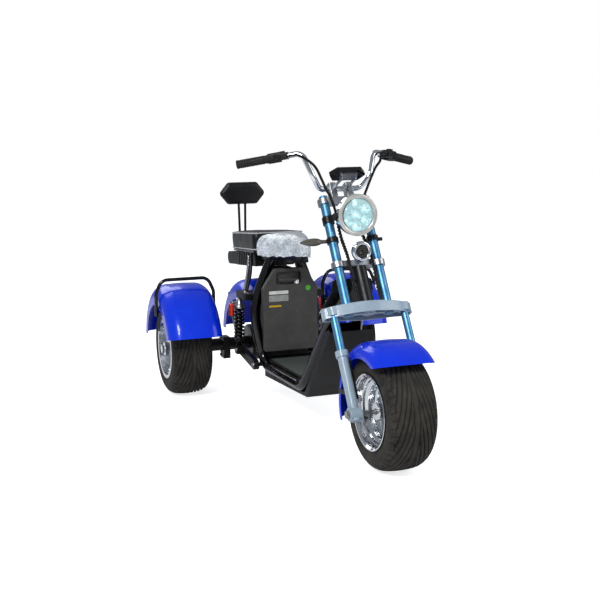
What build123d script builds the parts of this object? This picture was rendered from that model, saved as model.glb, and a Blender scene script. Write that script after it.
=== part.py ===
"""Electric tricycle: one steered fat wheel in a raked fork, two fat rear wheels, two seats.

Frame of the model: +X forward, +Y to the rider's left, +Z up, origin on the ground under the
middle of the vehicle. All sizes are millimetres.
"""
from build123d import *
from math import cos, radians, sin
import os

os.makedirs("parts", exist_ok=True)

# ---------------------------------------------------------------- driving dimensions
wheelbase = 1424.0
rear_track = 822.0
rear_overhang = 361.0          # rear axle to the back of the backrest
rake = 30.5                    # steering axis, degrees from the vertical

tyre_radius = 217.0            # fat 10 inch road tyre, 434 mm over the tread
tyre_width = 188.0
carcass = 9.0                  # thickness of the sidewall
rim_radius = 139.0             # over the flanges
rim_width = 182.0
rim_wall = 5.0
bead_inset = 16.0              # the tyre's bead sits that far in from the rim's face
rim_well_radius = 104.0
hub_radius = 31.0
hub_half_width = 92.0
web_thickness = 12.0
fit = 0.1                      # pieces that are pressed or clamped together
pin_clearance = 0.6            # running fit of a shaft in its bore

front_axle_radius = 8.5
half_shaft_radius = 15.0
disc_radius = 90.0
disc_thickness = 4.0

upper_tube_radius = 18.0
upper_tube_spread = 82.5       # half the distance between the upper fork tubes
lower_tube_radius = 15.0
lower_tube_spread = 143.0
slider_radius = 19.0
crown_along = 389.0            # distances up the steering axis from the front axle
lower_yoke_along = 575.0
upper_yoke_along = 841.0
crown_depth = 42.0
crown_half_width = 178.0
yoke_thickness = 24.0
stem_radius = 15.0
head_tube_radius = 27.0

frame_tube_radius = 23.0
floor_tube_z = 172.0
floor_board_z = 236.0          # top of the floor board
board_thickness = 8.0

battery_width = 262.0          # front cover
battery_height = 375.0
battery_front_x = -275.0

fender_half_width = 126.0
fender_crown_radius = 307.0
fender_edge_radius = 210.0
fender_thickness = 3.0
front_fender_half_width = 117.0
front_fender_crown_radius = 256.0
front_fender_edge_radius = 196.0

handlebar_radius = 11.1
grip_radius = 17.0
grip_length = 128.0

# ---------------------------------------------------------------- places that follow from them
front_reach = wheelbase + tyre_radius
rear_axle_x = -(front_reach - rear_overhang) / 2
front_axle_x = rear_axle_x + wheelbase
axle_z = tyre_radius
half_track = rear_track / 2
bead_radius = rim_radius - 11
lean_x, lean_z = sin(radians(rake)), cos(radians(rake))
steering_axis = Axis((front_axle_x, 0, axle_z), (-lean_x, 0, lean_z))
sides = (("right", -1), ("left", 1))


def along(distance, y=0.0, ahead=0.0):
    """A point up the steering axis from the front axle, moved sideways and ahead of the axis."""
    x = front_axle_x - distance * lean_x + ahead * lean_z
    z = axle_z + distance * lean_z + ahead * lean_x
    return (x, y, z)


def fork_plane(distance, y=0.0):
    """The plane square to the steering axis: local x ahead, local y left, local z up the axis."""
    return Plane(origin=along(distance, y), x_dir=(lean_z, 0, lean_x), z_dir=(-lean_x, 0, lean_z))


def axle_plane(x, y, facing=1):
    """The plane square to an axle at y, facing left or right: local x is ahead."""
    return Plane(origin=(x, y, axle_z), x_dir=(1, 0, 0), z_dir=(0, facing, 0))


def wheel_section_plane(x, y):
    """The upright plane through a wheel's axle: local x is +Y, local y is up."""
    return Plane(origin=(x, y, axle_z), x_dir=(0, 1, 0), z_dir=(1, 0, 0))


def radial_plane(x, y, angle):
    """The plane through a wheel's axle at that angle: local x points out, local y is +Y."""
    c, s = cos(radians(angle)), sin(radians(angle))
    return Plane(origin=(x, y, axle_z), x_dir=(c, 0, s), z_dir=(-s, 0, c))


def save(piece, label):
    """Name a finished piece and write it."""
    piece.part.label = label
    export_step(piece.part, f"parts/{label}.step")


# ================================================================ wheels
def tyre(x, y):
    """A carcass with a flat tread, round shoulders and beads that sit on the rim."""
    half = tyre_width / 2
    bead = bead_radius + fit
    with BuildPart() as body:
        with BuildSketch(wheel_section_plane(x, y)):
            for wall, mode in ((0, Mode.ADD), (carcass, Mode.SUBTRACT)):
                top = tyre_radius - 1.3 * wall
                flank = half - wall
                foot = rim_width / 2 - bead_inset - 1.7 * wall
                slope = (0.93, -0.36)
                with BuildLine():
                    tread = ThreePointArc((34 - flank, top - 6), (0, top), (flank - 34, top - 6))
                    left = Spline(tread @ 1, (flank, 176), (foot, bead), tangents=(slope, (-0.45, -0.9)))
                    mirror(left, about=Plane.YZ)
                    Line((-foot, bead), (foot, bead))
                make_face(mode=mode)
        revolve(axis=Axis((x, y, axle_z), (0, 1, 0)))
    return body


def rim(x, y, web_y, bore, windows):
    """A rolled barrel with a dropped well, a web with or without windows, and a bored hub."""
    half = rim_width / 2
    with BuildPart() as body:
        with BuildSketch(wheel_section_plane(x, y)):
            with BuildLine():
                barrel = Polyline(
                    (0, rim_well_radius),
                    (half - 54, rim_well_radius),
                    (half - 40, bead_radius - 3),
                    (half - rim_wall - 2, bead_radius),
                    (half - rim_wall, rim_radius),
                    (half, rim_radius),
                    (half, bead_radius - rim_wall),
                    (half - 38, bead_radius - 3 - rim_wall),
                    (half - 52, rim_well_radius - rim_wall),
                    (0, rim_well_radius - rim_wall),
                )
                mirror(barrel, about=Plane.YZ)
            make_face()
        revolve(axis=Axis((x, y, axle_z), (0, 1, 0)))
        with BuildSketch(axle_plane(x, y + web_y)):
            Circle(rim_well_radius - rim_wall / 2)
            if windows:
                with PolarLocations(64, windows):
                    SlotOverall(44, 28, rotation=90, mode=Mode.SUBTRACT)
        extrude(amount=web_thickness / 2, both=True)
        with BuildSketch(axle_plane(x, y)):
            Circle(hub_radius)
        extrude(amount=hub_half_width, both=True)
        with BuildSketch(axle_plane(x, y)):
            Circle(bore)
        extrude(amount=hub_half_width + 1, both=True, mode=Mode.SUBTRACT)
    return body


save(tyre(front_axle_x, 0), "front_tyre")
save(rim(front_axle_x, 0, 22, front_axle_radius + pin_clearance, 0), "front_rim")

disc_y = hub_half_width + 18
with BuildPart() as front_brake_disc:
    with BuildSketch(axle_plane(front_axle_x, disc_y)):
        Circle(disc_radius)
        with PolarLocations(62, 12):
            Circle(7, mode=Mode.SUBTRACT)
    extrude(amount=disc_thickness / 2, both=True)
    with BuildSketch(axle_plane(front_axle_x, hub_half_width + fit)):
        Circle(36)
    extrude(amount=disc_y - hub_half_width - fit)
    with BuildSketch(axle_plane(front_axle_x, hub_half_width)):
        Circle(front_axle_radius + pin_clearance)
    extrude(amount=30, mode=Mode.SUBTRACT)
save(front_brake_disc, "front_brake_disc")

shaft_inner_y = 120.0          # the half shafts end there, inside the axle housing
shaft_outer_y = half_track + hub_half_width + 4
for side, sign in sides:
    save(tyre(rear_axle_x, sign * half_track), f"rear_{side}_tyre")
    with BuildPart() as rear_rim:
        add(rim(rear_axle_x, sign * half_track, sign * 30, half_shaft_radius / 2, 6))
        with BuildSketch(axle_plane(rear_axle_x, sign * shaft_inner_y, sign)):
            Circle(half_shaft_radius)
        extrude(amount=shaft_outer_y - shaft_inner_y)
        with BuildSketch(axle_plane(rear_axle_x, sign * shaft_outer_y, sign)):
            RegularPolygon(21, 6)
        extrude(amount=9)
    save(rear_rim, f"rear_{side}_rim")

# ================================================================ fork
slider_top_along = 238.0
slider_collar = 24.0           # length of the thicker collar at the top
lower_tube_top_along = crown_along + crown_depth / 2 - 10
crown_wall = 6.0


def crown_profile(inset):
    """The outline of the crown from above, moved in by inset."""
    front = 50 - inset
    back = 40 - inset
    side = crown_half_width - inset
    with BuildSketch() as outline:
        with BuildLine():
            bow = ThreePointArc((-4, -side), (front, 0), (-4, side))
            Polyline(bow @ 1, (-back, side), (-back, 110), (-back - 14, 0), (-back, -110), (-back, -side), bow @ 0)
        make_face()
        fillet(outline.vertices().group_by(Axis.Y)[0], 9)
        fillet(outline.vertices().group_by(Axis.Y)[-1], 9)
    return outline.sketch


with BuildPart() as fork_crown:
    with BuildSketch(fork_plane(crown_along - crown_depth / 2)):
        add(crown_profile(0))
    extrude(amount=crown_depth)
    fillet(fork_crown.faces().sort_by(steering_axis)[-1].edges(), 5)
    with BuildSketch(fork_plane(crown_along - crown_depth / 2)):
        add(crown_profile(crown_wall))
    extrude(amount=crown_depth - crown_wall - 4, mode=Mode.SUBTRACT)
    with BuildSketch(fork_plane(crown_along - crown_depth / 2 + 6)):
        with Locations((0, upper_tube_spread), (0, -upper_tube_spread)):
            Circle(upper_tube_radius + 7)
        with Locations((0, lower_tube_spread), (0, -lower_tube_spread)):
            Circle(lower_tube_radius + 8)
        Circle(stem_radius + 10)
        Rectangle(16, 2 * lower_tube_spread)
    extrude(amount=crown_depth - 10)
    with BuildSketch(fork_plane(crown_along - crown_depth)):
        with Locations((0, lower_tube_spread), (0, -lower_tube_spread)):
            Circle(lower_tube_radius + fit)
    extrude(amount=lower_tube_top_along - crown_along + crown_depth, mode=Mode.SUBTRACT)
    with BuildSketch(fork_plane(crown_along - crown_depth)):
        with Locations((0, upper_tube_spread), (0, -upper_tube_spread)):
            Circle(upper_tube_radius + fit)
    extrude(amount=2 * crown_depth, mode=Mode.SUBTRACT)
    # the steering stem is pressed into the crown and runs up to the lower yoke
    with BuildSketch(fork_plane(crown_along - crown_depth / 2 + 4)):
        Circle(stem_radius)
    extrude(amount=lower_yoke_along - crown_along + crown_depth / 2 - 4 + yoke_thickness / 2)
save(fork_crown, "fork_crown")

# upper tubes from the crown to the upper yoke, lower tubes from the crown into the sliders
with BuildPart() as fork_tubes:
    with BuildSketch(fork_plane(crown_along - crown_depth / 2 + 2)):
        with Locations((0, upper_tube_spread), (0, -upper_tube_spread)):
            Circle(upper_tube_radius)
    extrude(amount=upper_yoke_along + 22 - crown_along + crown_depth / 2)
    fillet(fork_tubes.edges().group_by(steering_axis)[-1], 3)
    with BuildSketch(fork_plane(60)):
        with Locations((0, lower_tube_spread), (0, -lower_tube_spread)):
            Circle(lower_tube_radius)
    extrude(amount=lower_tube_top_along - 60)
save(fork_tubes, "fork_tubes")

with BuildPart() as fork_sliders:
    with BuildSketch(fork_plane(-26)):
        with Locations((0, lower_tube_spread), (0, -lower_tube_spread)):
            Circle(slider_radius)
    extrude(amount=slider_top_along + 26)
    with BuildSketch(fork_plane(slider_top_along - slider_collar)):
        with Locations((0, lower_tube_spread), (0, -lower_tube_spread)):
            Circle(slider_radius + 5)
    extrude(amount=slider_collar)
    fillet(fork_sliders.edges().filter_by(GeomType.CIRCLE).group_by(steering_axis)[-1], 2)
    with BuildSketch(axle_plane(front_axle_x, lower_tube_spread - slider_radius - 3)):
        Circle(25)
    extrude(amount=2 * slider_radius + 6)
    with BuildSketch(axle_plane(front_axle_x, -lower_tube_spread + slider_radius + 3, -1)):
        Circle(25)
    extrude(amount=2 * slider_radius + 6)
    with BuildSketch(axle_plane(front_axle_x, 0)):
        Circle(front_axle_radius + fit)
    extrude(amount=250, both=True, mode=Mode.SUBTRACT)
    with BuildSketch(fork_plane(60)):
        with Locations((0, lower_tube_spread), (0, -lower_tube_spread)):
            Circle(lower_tube_radius + fit)
    extrude(amount=slider_top_along, mode=Mode.SUBTRACT)
save(fork_sliders, "fork_sliders")

axle_half_length = lower_tube_spread + slider_radius + 3
with BuildPart() as front_axle:
    with BuildSketch(axle_plane(front_axle_x, 0)):
        Circle(front_axle_radius)
    extrude(amount=axle_half_length + 2, both=True)
    for side, sign in sides:
        with BuildSketch(axle_plane(front_axle_x, sign * (axle_half_length + 1), sign)):
            RegularPolygon(15, 6)
        extrude(amount=11)
        with BuildSketch(axle_plane(front_axle_x, -(hub_half_width + 20 + 3) if sign < 0 else disc_y + 6, 1)):
            Circle(12)
        extrude(amount=4)
save(front_axle, "front_axle")

def yoke(distance, depth, bow):
    """A plate with two round clamps for the upper tubes, bowed ahead in the middle."""
    reach = upper_tube_spread
    low = distance - yoke_thickness / 2
    with BuildPart() as plate:
        with BuildSketch(fork_plane(low)):
            with Locations((0, reach), (0, -reach)):
                Circle(upper_tube_radius + 8)
            with BuildLine():
                ahead = ThreePointArc((depth, -reach), (depth + bow, 0), (depth, reach))
                behind = ThreePointArc((-depth, -reach), (bow - depth, 0), (-depth, reach))
                Line(ahead @ 0, behind @ 0)
                Line(ahead @ 1, behind @ 1)
            make_face()
        extrude(amount=yoke_thickness)
        fillet(plate.faces().sort_by(steering_axis)[-1].edges(), 2)
        with BuildSketch(fork_plane(low - 1)):
            with Locations((0, reach), (0, -reach)):
                Circle(upper_tube_radius + fit)
        extrude(amount=yoke_thickness + 2, mode=Mode.SUBTRACT)
        if distance == lower_yoke_along:
            with BuildSketch(fork_plane(low - 1)):
                Circle(stem_radius + fit)
            extrude(amount=yoke_thickness + 2, mode=Mode.SUBTRACT)
    return plate


with BuildPart() as fork_yokes:
    add(yoke(lower_yoke_along, 19, 3))
    add(yoke(upper_yoke_along, 19, 10))
save(fork_yokes, "fork_yokes")

# ---------------------------------------------------------------- front fender

def arch_section(sizes, inset):
    """The section of a fender, out from the axle: straight sides, round shoulders, a low crown."""
    half_width, crown, edge, corner = sizes
    side = half_width - inset
    top = crown - inset
    with BuildSketch() as section:
        with BuildLine():
            shell = FilletPolyline((edge, -side), (top - 6, -side), (top, 0), (top - 6, side), (edge, side),
                                   radius=[corner - inset, 500, corner - inset])
            Line(shell @ 0, shell @ 1)
        make_face()
    return section.sketch


def fender(x, y, sizes, start, sweep_angle, front_cut, rear_cut):
    """A shell turned about the axle, cut at the front and the rear by nearly level planes."""
    half_width, crown, edge, corner = sizes
    back_axis = Axis((x, y, axle_z), (0, -1, 0))
    with BuildPart() as shell:
        with BuildSketch(radial_plane(x, y, start)):
            add(arch_section(sizes, 0))
        revolve(axis=back_axis, revolution_arc=sweep_angle)
        with BuildSketch(radial_plane(x, y, start)):
            add(arch_section((half_width, crown, edge - 1, corner), fender_thickness))
        revolve(axis=back_axis, revolution_arc=sweep_angle, mode=Mode.SUBTRACT)
        for cut in (front_cut, rear_cut):
            with BuildSketch(Plane(origin=(x + cut[0], y, axle_z + cut[1]), x_dir=(0, 1, 0), z_dir=cut[2])):
                Rectangle(2 * half_width + 20, 2 * (crown - edge + 20))
            extrude(amount=90, mode=Mode.SUBTRACT)
    return shell


# the front lip is cut nearly level ahead of the tyre; the rear end hangs below the axle
front_fender_sizes = (front_fender_half_width, front_fender_crown_radius, front_fender_edge_radius, 50)
save(fender(front_axle_x, 0, front_fender_sizes, 40, 161, (120, 188, (0.26, 0, -0.97)), (-226, -71, (-0.1, 0, -1))),
     "front_fender")

# flat bars between the sliders and the sides of the front fender
stay_thickness = lower_tube_spread - slider_radius - front_fender_half_width - 0.4


def bar(start, end, y, sign, width, thickness):
    """A flat bar with round ends between two points (x, z), from y outwards."""
    run = Vector(end[0] - start[0], 0, end[1] - start[1])
    middle = ((start[0] + end[0]) / 2, y, (start[1] + end[1]) / 2)
    with BuildPart() as flat:
        with BuildSketch(Plane(origin=middle, x_dir=run, z_dir=(0, sign, 0))):
            SlotCenterToCenter(run.length, width)
        extrude(amount=thickness)
    return flat.part


with BuildPart() as front_fender_stays:
    for side, sign in sides:
        wall_y = sign * (front_fender_half_width + fit)
        high, low = along(front_fender_edge_radius + 5), along(62)
        rear = (front_axle_x - 190, axle_z + 40)
        add(bar((high[0], high[2]), (low[0], low[2]), wall_y, sign, 16, stay_thickness))
        add(bar((low[0], low[2]), rear, wall_y, sign, 16, stay_thickness))
save(front_fender_stays, "front_fender_stays")

# ---------------------------------------------------------------- front brake caliper
caliper_gap = 2.0              # running gap beside the disc
caliper_angle = 200.0          # behind the left slider, counted up from straight ahead
with BuildPart() as front_brake_caliper:
    with BuildSketch(radial_plane(front_axle_x, disc_y, caliper_angle)):
        with Locations((82, -1)):
            Rectangle(56, 25)
    extrude(amount=36, both=True)
    fillet(front_brake_caliper.edges(), 2.5)
    with BuildSketch(axle_plane(front_axle_x, disc_y)):
        Circle(disc_radius + 6)
    extrude(amount=disc_thickness / 2 + caliper_gap, both=True, mode=Mode.SUBTRACT)
    add(bar((front_axle_x - 96, axle_z - 32), (along(30)[0], along(30)[2]), disc_y + 7, 1, 20, 3.9))
save(front_brake_caliper, "front_brake_caliper")

# ================================================================ handlebar and controls
bar_along, bar_ahead = 905.0, -12.0
bar_centre = along(bar_along, 0, bar_ahead)
grip_end = (175.0, 370.0, 1090.0)
bar_shoulder = (300.0, 150.0, 1132.0)                      # where the bar turns down from the grips
bar_elbow = (bar_centre[0] + 22, 118.0, bar_centre[2] + 49)
bar_foot = (bar_centre[0], 84.0, bar_centre[2])            # where it turns in to the clamps

with BuildPart() as handlebar:
    with BuildLine() as bar_route:
        points = [grip_end, bar_shoulder, bar_elbow, bar_foot]
        across = [(x, -y, z) for x, y, z in reversed(points)]
        FilletPolyline(*points, *across, radius=[36, 60, 34, 34, 60, 36])
    with BuildSketch(Plane(origin=bar_route.wires()[0] @ 0, z_dir=bar_route.wires()[0] % 0)):
        Circle(handlebar_radius)
    sweep()
save(handlebar, "handlebar")


def grip_plane(sign, distance):
    """The plane square to the bar, in from its end: local z inwards, local x level and ahead.

    Local y is up on the left and down on the right.
    """
    end = Vector(grip_end[0], sign * grip_end[1], grip_end[2])
    shoulder = Vector(bar_shoulder[0], sign * bar_shoulder[1], bar_shoulder[2])
    inwards = (shoulder - end).normalized()
    ahead = Vector(0, 0, 1).cross(inwards) * sign
    return Plane(origin=end + inwards * distance, x_dir=ahead, z_dir=inwards)


with BuildPart() as grips:
    for side, sign in sides:
        with BuildSketch(grip_plane(sign, -4)):
            Circle(grip_radius)
        extrude(amount=grip_length)
        with BuildSketch(grip_plane(sign, 0)):
            Circle(handlebar_radius + fit)
        extrude(amount=grip_length, mode=Mode.SUBTRACT)
save(grips, "grips")

housing_length = 46.0
mirror_thread_radius = 4.0
mirror_thread_depth = 16.0
with BuildPart() as hand_controls:
    for side, sign in sides:
        with BuildSketch(grip_plane(sign, grip_length - 3)):
            RectangleRounded(42, 40, 9)
        extrude(amount=housing_length)
        with BuildSketch(grip_plane(sign, grip_length + housing_length - 3)):
            with Locations((10, 0)):
                RectangleRounded(56, 28, 6)
        extrude(amount=30)
        # the boss that takes a mirror stem
        with BuildSketch(grip_plane(sign, grip_length + housing_length + 12)):
            with Locations((28, sign * 12)):
                Rectangle(18, 16)
        extrude(amount=9, both=True)
        # the lever: a pivot lug, then a blade that follows the grip ahead of it
        place = grip_plane(sign, grip_length + housing_length + 6)
        with BuildLine() as blade_route:
            route = [(34, 0, 0), (52, 0, -28), (48, 0, -74), (53, 0, -112)]
            FilletPolyline(*[place.from_local_coords(point) for point in route], radius=[22, 50])
        with BuildSketch(Plane(origin=blade_route.wires()[0] @ 0, x_dir=place.y_dir,
                               z_dir=blade_route.wires()[0] % 0)):
            RectangleRounded(15, 6, 2.5)
        sweep()
        with BuildSketch(grip_plane(sign, 0)):
            Circle(handlebar_radius + fit)
        extrude(amount=260, mode=Mode.SUBTRACT)
        thread_place = grip_plane(sign, grip_length + housing_length + 12)
        with BuildSketch(Plane(origin=thread_place.from_local_coords((28, sign * 20, 0)),
                               x_dir=thread_place.x_dir, z_dir=thread_place.y_dir * sign)):
            Circle(mirror_thread_radius)
        extrude(amount=-mirror_thread_depth, mode=Mode.SUBTRACT)
save(hand_controls, "hand_controls")

# ---------------------------------------------------------------- display over the clamps
display_x, display_z = 388.0, 1052.0
display_width, display_depth, display_height = 150.0, 66.0, 17.0
display_tilt = 38.0
tilt_c, tilt_s = cos(radians(display_tilt)), sin(radians(display_tilt))
display_plane = Plane(origin=(display_x, 0, display_z), x_dir=(tilt_c, 0, tilt_s), z_dir=(-tilt_s, 0, tilt_c))
with BuildPart() as display:
    with BuildSketch(display_plane.offset(-display_height / 2)) as display_outline:
        with BuildLine():
            half_w, half_d = display_width / 2, display_depth / 2
            Polyline((half_d, -half_w + 26), (half_d, half_w - 26), (2, half_w), (-half_d, half_w - 22),
                     (-half_d, -half_w + 22), (2, -half_w), close=True)
        make_face()
        fillet(display_outline.vertices(), 8)
    extrude(amount=display_height)
    fillet(display.faces().sort_by(Axis((0, 0, 0), display_plane.z_dir))[-1].edges(), 3)
save(display, "display")

# two clamps hold the bar on the upper yoke; two arms rise from them to the display
with BuildPart() as handlebar_clamps:
    with BuildSketch(fork_plane(upper_yoke_along + yoke_thickness / 2 + fit)):
        with Locations((bar_ahead, 34), (bar_ahead, -34)):
            RectangleRounded(38, 30, 6)
    extrude(amount=bar_along + handlebar_radius + 9 - upper_yoke_along - yoke_thickness / 2)
    for side, sign in sides:
        foot = along(bar_along, 0, bar_ahead + 16)
        under = display_plane.from_local_coords((2, 0, -display_height / 2 - 15))
        add(bar((foot[0], foot[2]), (under.X, under.Z), sign * 26, sign, 11, 5))
    with BuildSketch(display_plane.offset(-display_height / 2 - 12)):
        with Locations((2, 0)):
            RectangleRounded(34, 70, 5)
    extrude(amount=12 - fit)
    with BuildSketch(Plane(origin=bar_centre, x_dir=(1, 0, 0), z_dir=(0, 1, 0))):
        Circle(handlebar_radius + fit)
    extrude(amount=80, both=True, mode=Mode.SUBTRACT)
save(handlebar_clamps, "handlebar_clamps")

# ---------------------------------------------------------------- headlight and horn
headlight_x, headlight_z = 492.0, 900.0
headlight_radius = 79.0
lens_radius = 69.0
with BuildPart() as headlight_shell:
    with BuildSketch(Plane.XZ):
        with BuildLine():
            bowl = Spline((headlight_x - 22, headlight_z + headlight_radius - 4),
                          (headlight_x - 70, headlight_z + 58),
                          (headlight_x - 106, headlight_z), tangents=((-1, -0.1), (0, -1)))
            Polyline(bowl @ 0, (headlight_x - 22, headlight_z + headlight_radius),
                     (headlight_x, headlight_z + headlight_radius), (headlight_x + 3, headlight_z + headlight_radius - 4),
                     (headlight_x + 3, headlight_z + lens_radius + 0.3), (headlight_x - 6, headlight_z + lens_radius + 0.3),
                     (headlight_x - 6, headlight_z + lens_radius - 3))
            inside = Spline((headlight_x - 24, headlight_z + lens_radius - 3),
                            (headlight_x - 68, headlight_z + 54),
                            (headlight_x - 103, headlight_z), tangents=((-1, -0.1), (0, -1)))
            Line((headlight_x - 6, headlight_z + lens_radius - 3), inside @ 0)
            Line(inside @ 1, bowl @ 1)
        make_face()
    revolve(axis=Axis((0, 0, headlight_z), (1, 0, 0)))
save(headlight_shell, "headlight_shell")

with BuildPart() as headlight_lens:
    with BuildSketch(Plane.YZ.offset(headlight_x - 6 + fit)):
        with Locations((0, headlight_z)):
            Circle(lens_radius)
    extrude(amount=5)
    fillet(headlight_lens.faces().sort_by(Axis.X)[-1].edges(), 2)
save(headlight_lens, "headlight_lens")

ear_along = 762.0
with BuildPart() as headlight_bracket:
    for side, sign in sides:
        with BuildSketch(fork_plane(ear_along - 14, sign * upper_tube_spread)):
            Circle(upper_tube_radius + 5)
        extrude(amount=28)
        tube_at = along(ear_along)
        ear_y = sign * (headlight_radius + fit)
        add(bar((tube_at[0] + 8, tube_at[2]), (headlight_x - 24, headlight_z - 2), ear_y, sign, 26, 5))
        with BuildSketch(fork_plane(ear_along - 20, sign * upper_tube_spread)):
            Circle(upper_tube_radius + fit)
        extrude(amount=60, mode=Mode.SUBTRACT)
save(headlight_bracket, "headlight_bracket")

horn_x, horn_z, horn_radius = 524.0, 766.0, 38.0
with BuildPart() as horn:
    with BuildSketch(Plane.YZ.offset(horn_x - 12)):
        with Locations((0, horn_z)):
            Circle(horn_radius)
    extrude(amount=16)
    fillet(horn.edges().filter_by(GeomType.CIRCLE), 3)
    with BuildSketch(Plane.YZ.offset(horn_x - 40)):
        with Locations((0, horn_z)):
            Circle(22)
    extrude(amount=30)
    # a strap rises to it from the top of the lower yoke
    strap_along = lower_yoke_along + yoke_thickness / 2 + 0.2
    foot_rear = along(strap_along, 0, -6)
    foot_front = along(strap_along, 0, 10)
    boss_rear_x = horn_x - 40
    with BuildSketch(Plane.XZ):
        with BuildLine():
            Polyline((foot_rear[0], foot_rear[2]), (foot_front[0], foot_front[2]), (boss_rear_x + 0.2, horn_z - 15),
                     (boss_rear_x + 0.2, horn_z + 15), (boss_rear_x - 6, horn_z + 15),
                     (boss_rear_x - 6, horn_z - 19), close=True)
        make_face()
    extrude(amount=12, both=True)
save(horn, "horn")

# ---------------------------------------------------------------- indicators
indicator_along = 678.0
stalk_z = along(indicator_along)[2]
stalk_x = along(indicator_along)[0]
with BuildPart() as indicator_clamps:
    for side, sign in sides:
        with BuildSketch(fork_plane(indicator_along - 10, sign * upper_tube_spread)):
            Circle(upper_tube_radius + 5)
        extrude(amount=20)
        with BuildSketch(Plane(origin=(stalk_x + 12, sign * upper_tube_spread, stalk_z), x_dir=(1, 0, 0),
                               z_dir=(0, sign, 0))):
            Circle(7)
        extrude(amount=34)
        with BuildSketch(fork_plane(indicator_along - 30, sign * upper_tube_spread)):
            Circle(upper_tube_radius + fit)
        extrude(amount=60, mode=Mode.SUBTRACT)
save(indicator_clamps, "indicator_clamps")

with BuildPart() as right_indicator:
    with BuildSketch(Plane(origin=(stalk_x + 12, 0, stalk_z), x_dir=(0, -1, 0), z_dir=(0, 0, 1))):
        with BuildLine():
            start = upper_tube_spread + 34 + fit
            Polyline((start, 0), (start, 7), (start + 18, 8))
            Spline((start + 18, 8), (start + 48, 15), (start + 100, 4), tangents=((1, 0.6), (1, -0.35)))
            Polyline((start + 100, 4), (start + 104, 0), (start, 0))
        make_face()
    revolve(axis=Axis((stalk_x + 12, 0, stalk_z), (0, -1, 0)))
save(right_indicator, "right_indicator")

# ---------------------------------------------------------------- cables from the levers to the fork
cable_radius = 4.0


def cable(route, radii, radius):
    """A cable along straight runs joined by arcs."""
    with BuildPart() as cord:
        with BuildLine() as path:
            FilletPolyline(*route, radius=radii)
        wire = path.wires()[0]
        with BuildSketch(Plane(origin=wire @ 0, z_dir=wire % 0)):
            Circle(radius)
        sweep()
    return cord.part


def easy_radii(route):
    """The largest arcs that the runs allow: 0.49 of the shorter run over the tangent of half the turn."""
    radii = []
    for before, point, after in zip(route, route[1:], route[2:]):
        incoming = Vector(*point) - Vector(*before)
        outgoing = Vector(*after) - Vector(*point)
        half_turn = radians(incoming.get_angle(outgoing)) / 2
        radii.append(0.49 * min(incoming.length, outgoing.length) * cos(half_turn) / sin(half_turn))
    return radii


with BuildPart() as cable_looms:
    for side, sign in sides:
        switch_end = grip_plane(sign, grip_length + housing_length + 27.1)
        start = switch_end.from_local_coords((28, -sign * 2, 0))
        beyond = switch_end.from_local_coords((28, -sign * 2, 48))
        route = [
            (start.X, start.Y, start.Z),
            (beyond.X, beyond.Y, beyond.Z),
            along(950, sign * 130, 92),
            along(885, sign * 94, 56),
            along(845, sign * 72, 45),
            along(795, sign * 50, 16),
            along(750, sign * 46, 0),
            along(690, sign * 46, 2),
            along(640, sign * 49, 20),
            along(600, sign * 48.5, 30),
            along(548, sign * 48, 31),
            along(500, sign * 48, 23),
            along(crown_along + crown_depth / 2 + 0.6, sign * 48, 22),
        ]
        radii = easy_radii(route)
        print(side, "cable radii", [round(radius) for radius in radii])
        add(cable(route, radii, 7.0))
save(cable_looms, "cable_looms")

# ================================================================ frame
head_low_along = crown_along + crown_depth / 2 + 1.5
head_high_along = lower_yoke_along - yoke_thickness / 2 - 1.5
neck_radius = 30.0             # the neck runs down and back from the head tube between the two tubes
neck_foot = Vector(400, 0, 526)
neck_rise = Vector(163, 0, 160).normalized()
neck_length = 184.0
tube_end_behind = 100.0        # the side tubes end that far behind the steering axis
with BuildPart() as head_tube:
    with BuildSketch(fork_plane(head_low_along)):
        Circle(head_tube_radius)
    extrude(amount=head_high_along - head_low_along)
    with BuildSketch(Plane(origin=neck_foot, z_dir=neck_rise)):
        Circle(neck_radius)
    extrude(amount=neck_length)
    with BuildSketch(fork_plane(head_low_along - 30)):
        Circle(stem_radius + pin_clearance)
    extrude(amount=head_high_along - head_low_along + 60, mode=Mode.SUBTRACT)
save(head_tube, "head_tube")

floor_front_x, floor_rear_x = 155.0, -322.0
floor_front_y, floor_rear_y = 103.0, 112.0
hoop_bulge = (-357.0, 155.0, 430.0)
bracket_low_z, bracket_high_z = 650.0, 665.0


def side_tube(sign, radius):
    """One long tube: down from the head tube, back along the floor, up and out around the battery."""
    route = [
        (508.0, sign * 27, 632.0),
        (345.0, sign * 58, 472.0),
        (floor_front_x, sign * floor_front_y, floor_tube_z),
        (floor_rear_x, sign * floor_rear_y, floor_tube_z),
        (hoop_bulge[0], sign * hoop_bulge[1], hoop_bulge[2]),
        (-344.0, sign * 62, bracket_high_z),
    ]
    return cable(route, [320, 90, 75, 330], radius)


for side, sign in sides:
    with BuildPart() as frame_side_tube:
        add(side_tube(sign, frame_tube_radius))
        # it is welded along the side of the neck and stops clear of the turning fork
        with BuildSketch(fork_plane(head_low_along - 60)):
            with Locations((150 - tube_end_behind, 0)):
                Rectangle(300, 300)
        extrude(amount=300, mode=Mode.SUBTRACT)
        with BuildSketch(Plane(origin=neck_foot - neck_rise * 20, z_dir=neck_rise)):
            Circle(neck_radius + fit)
        extrude(amount=neck_length, mode=Mode.SUBTRACT)
        with BuildSketch(Plane.XY.offset(bracket_low_z - fit)):
            with Locations((-344, 0)):
                Rectangle(300, 500)
        extrude(amount=60, mode=Mode.SUBTRACT)
    save(frame_side_tube, f"{side}_frame_tube")

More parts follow.
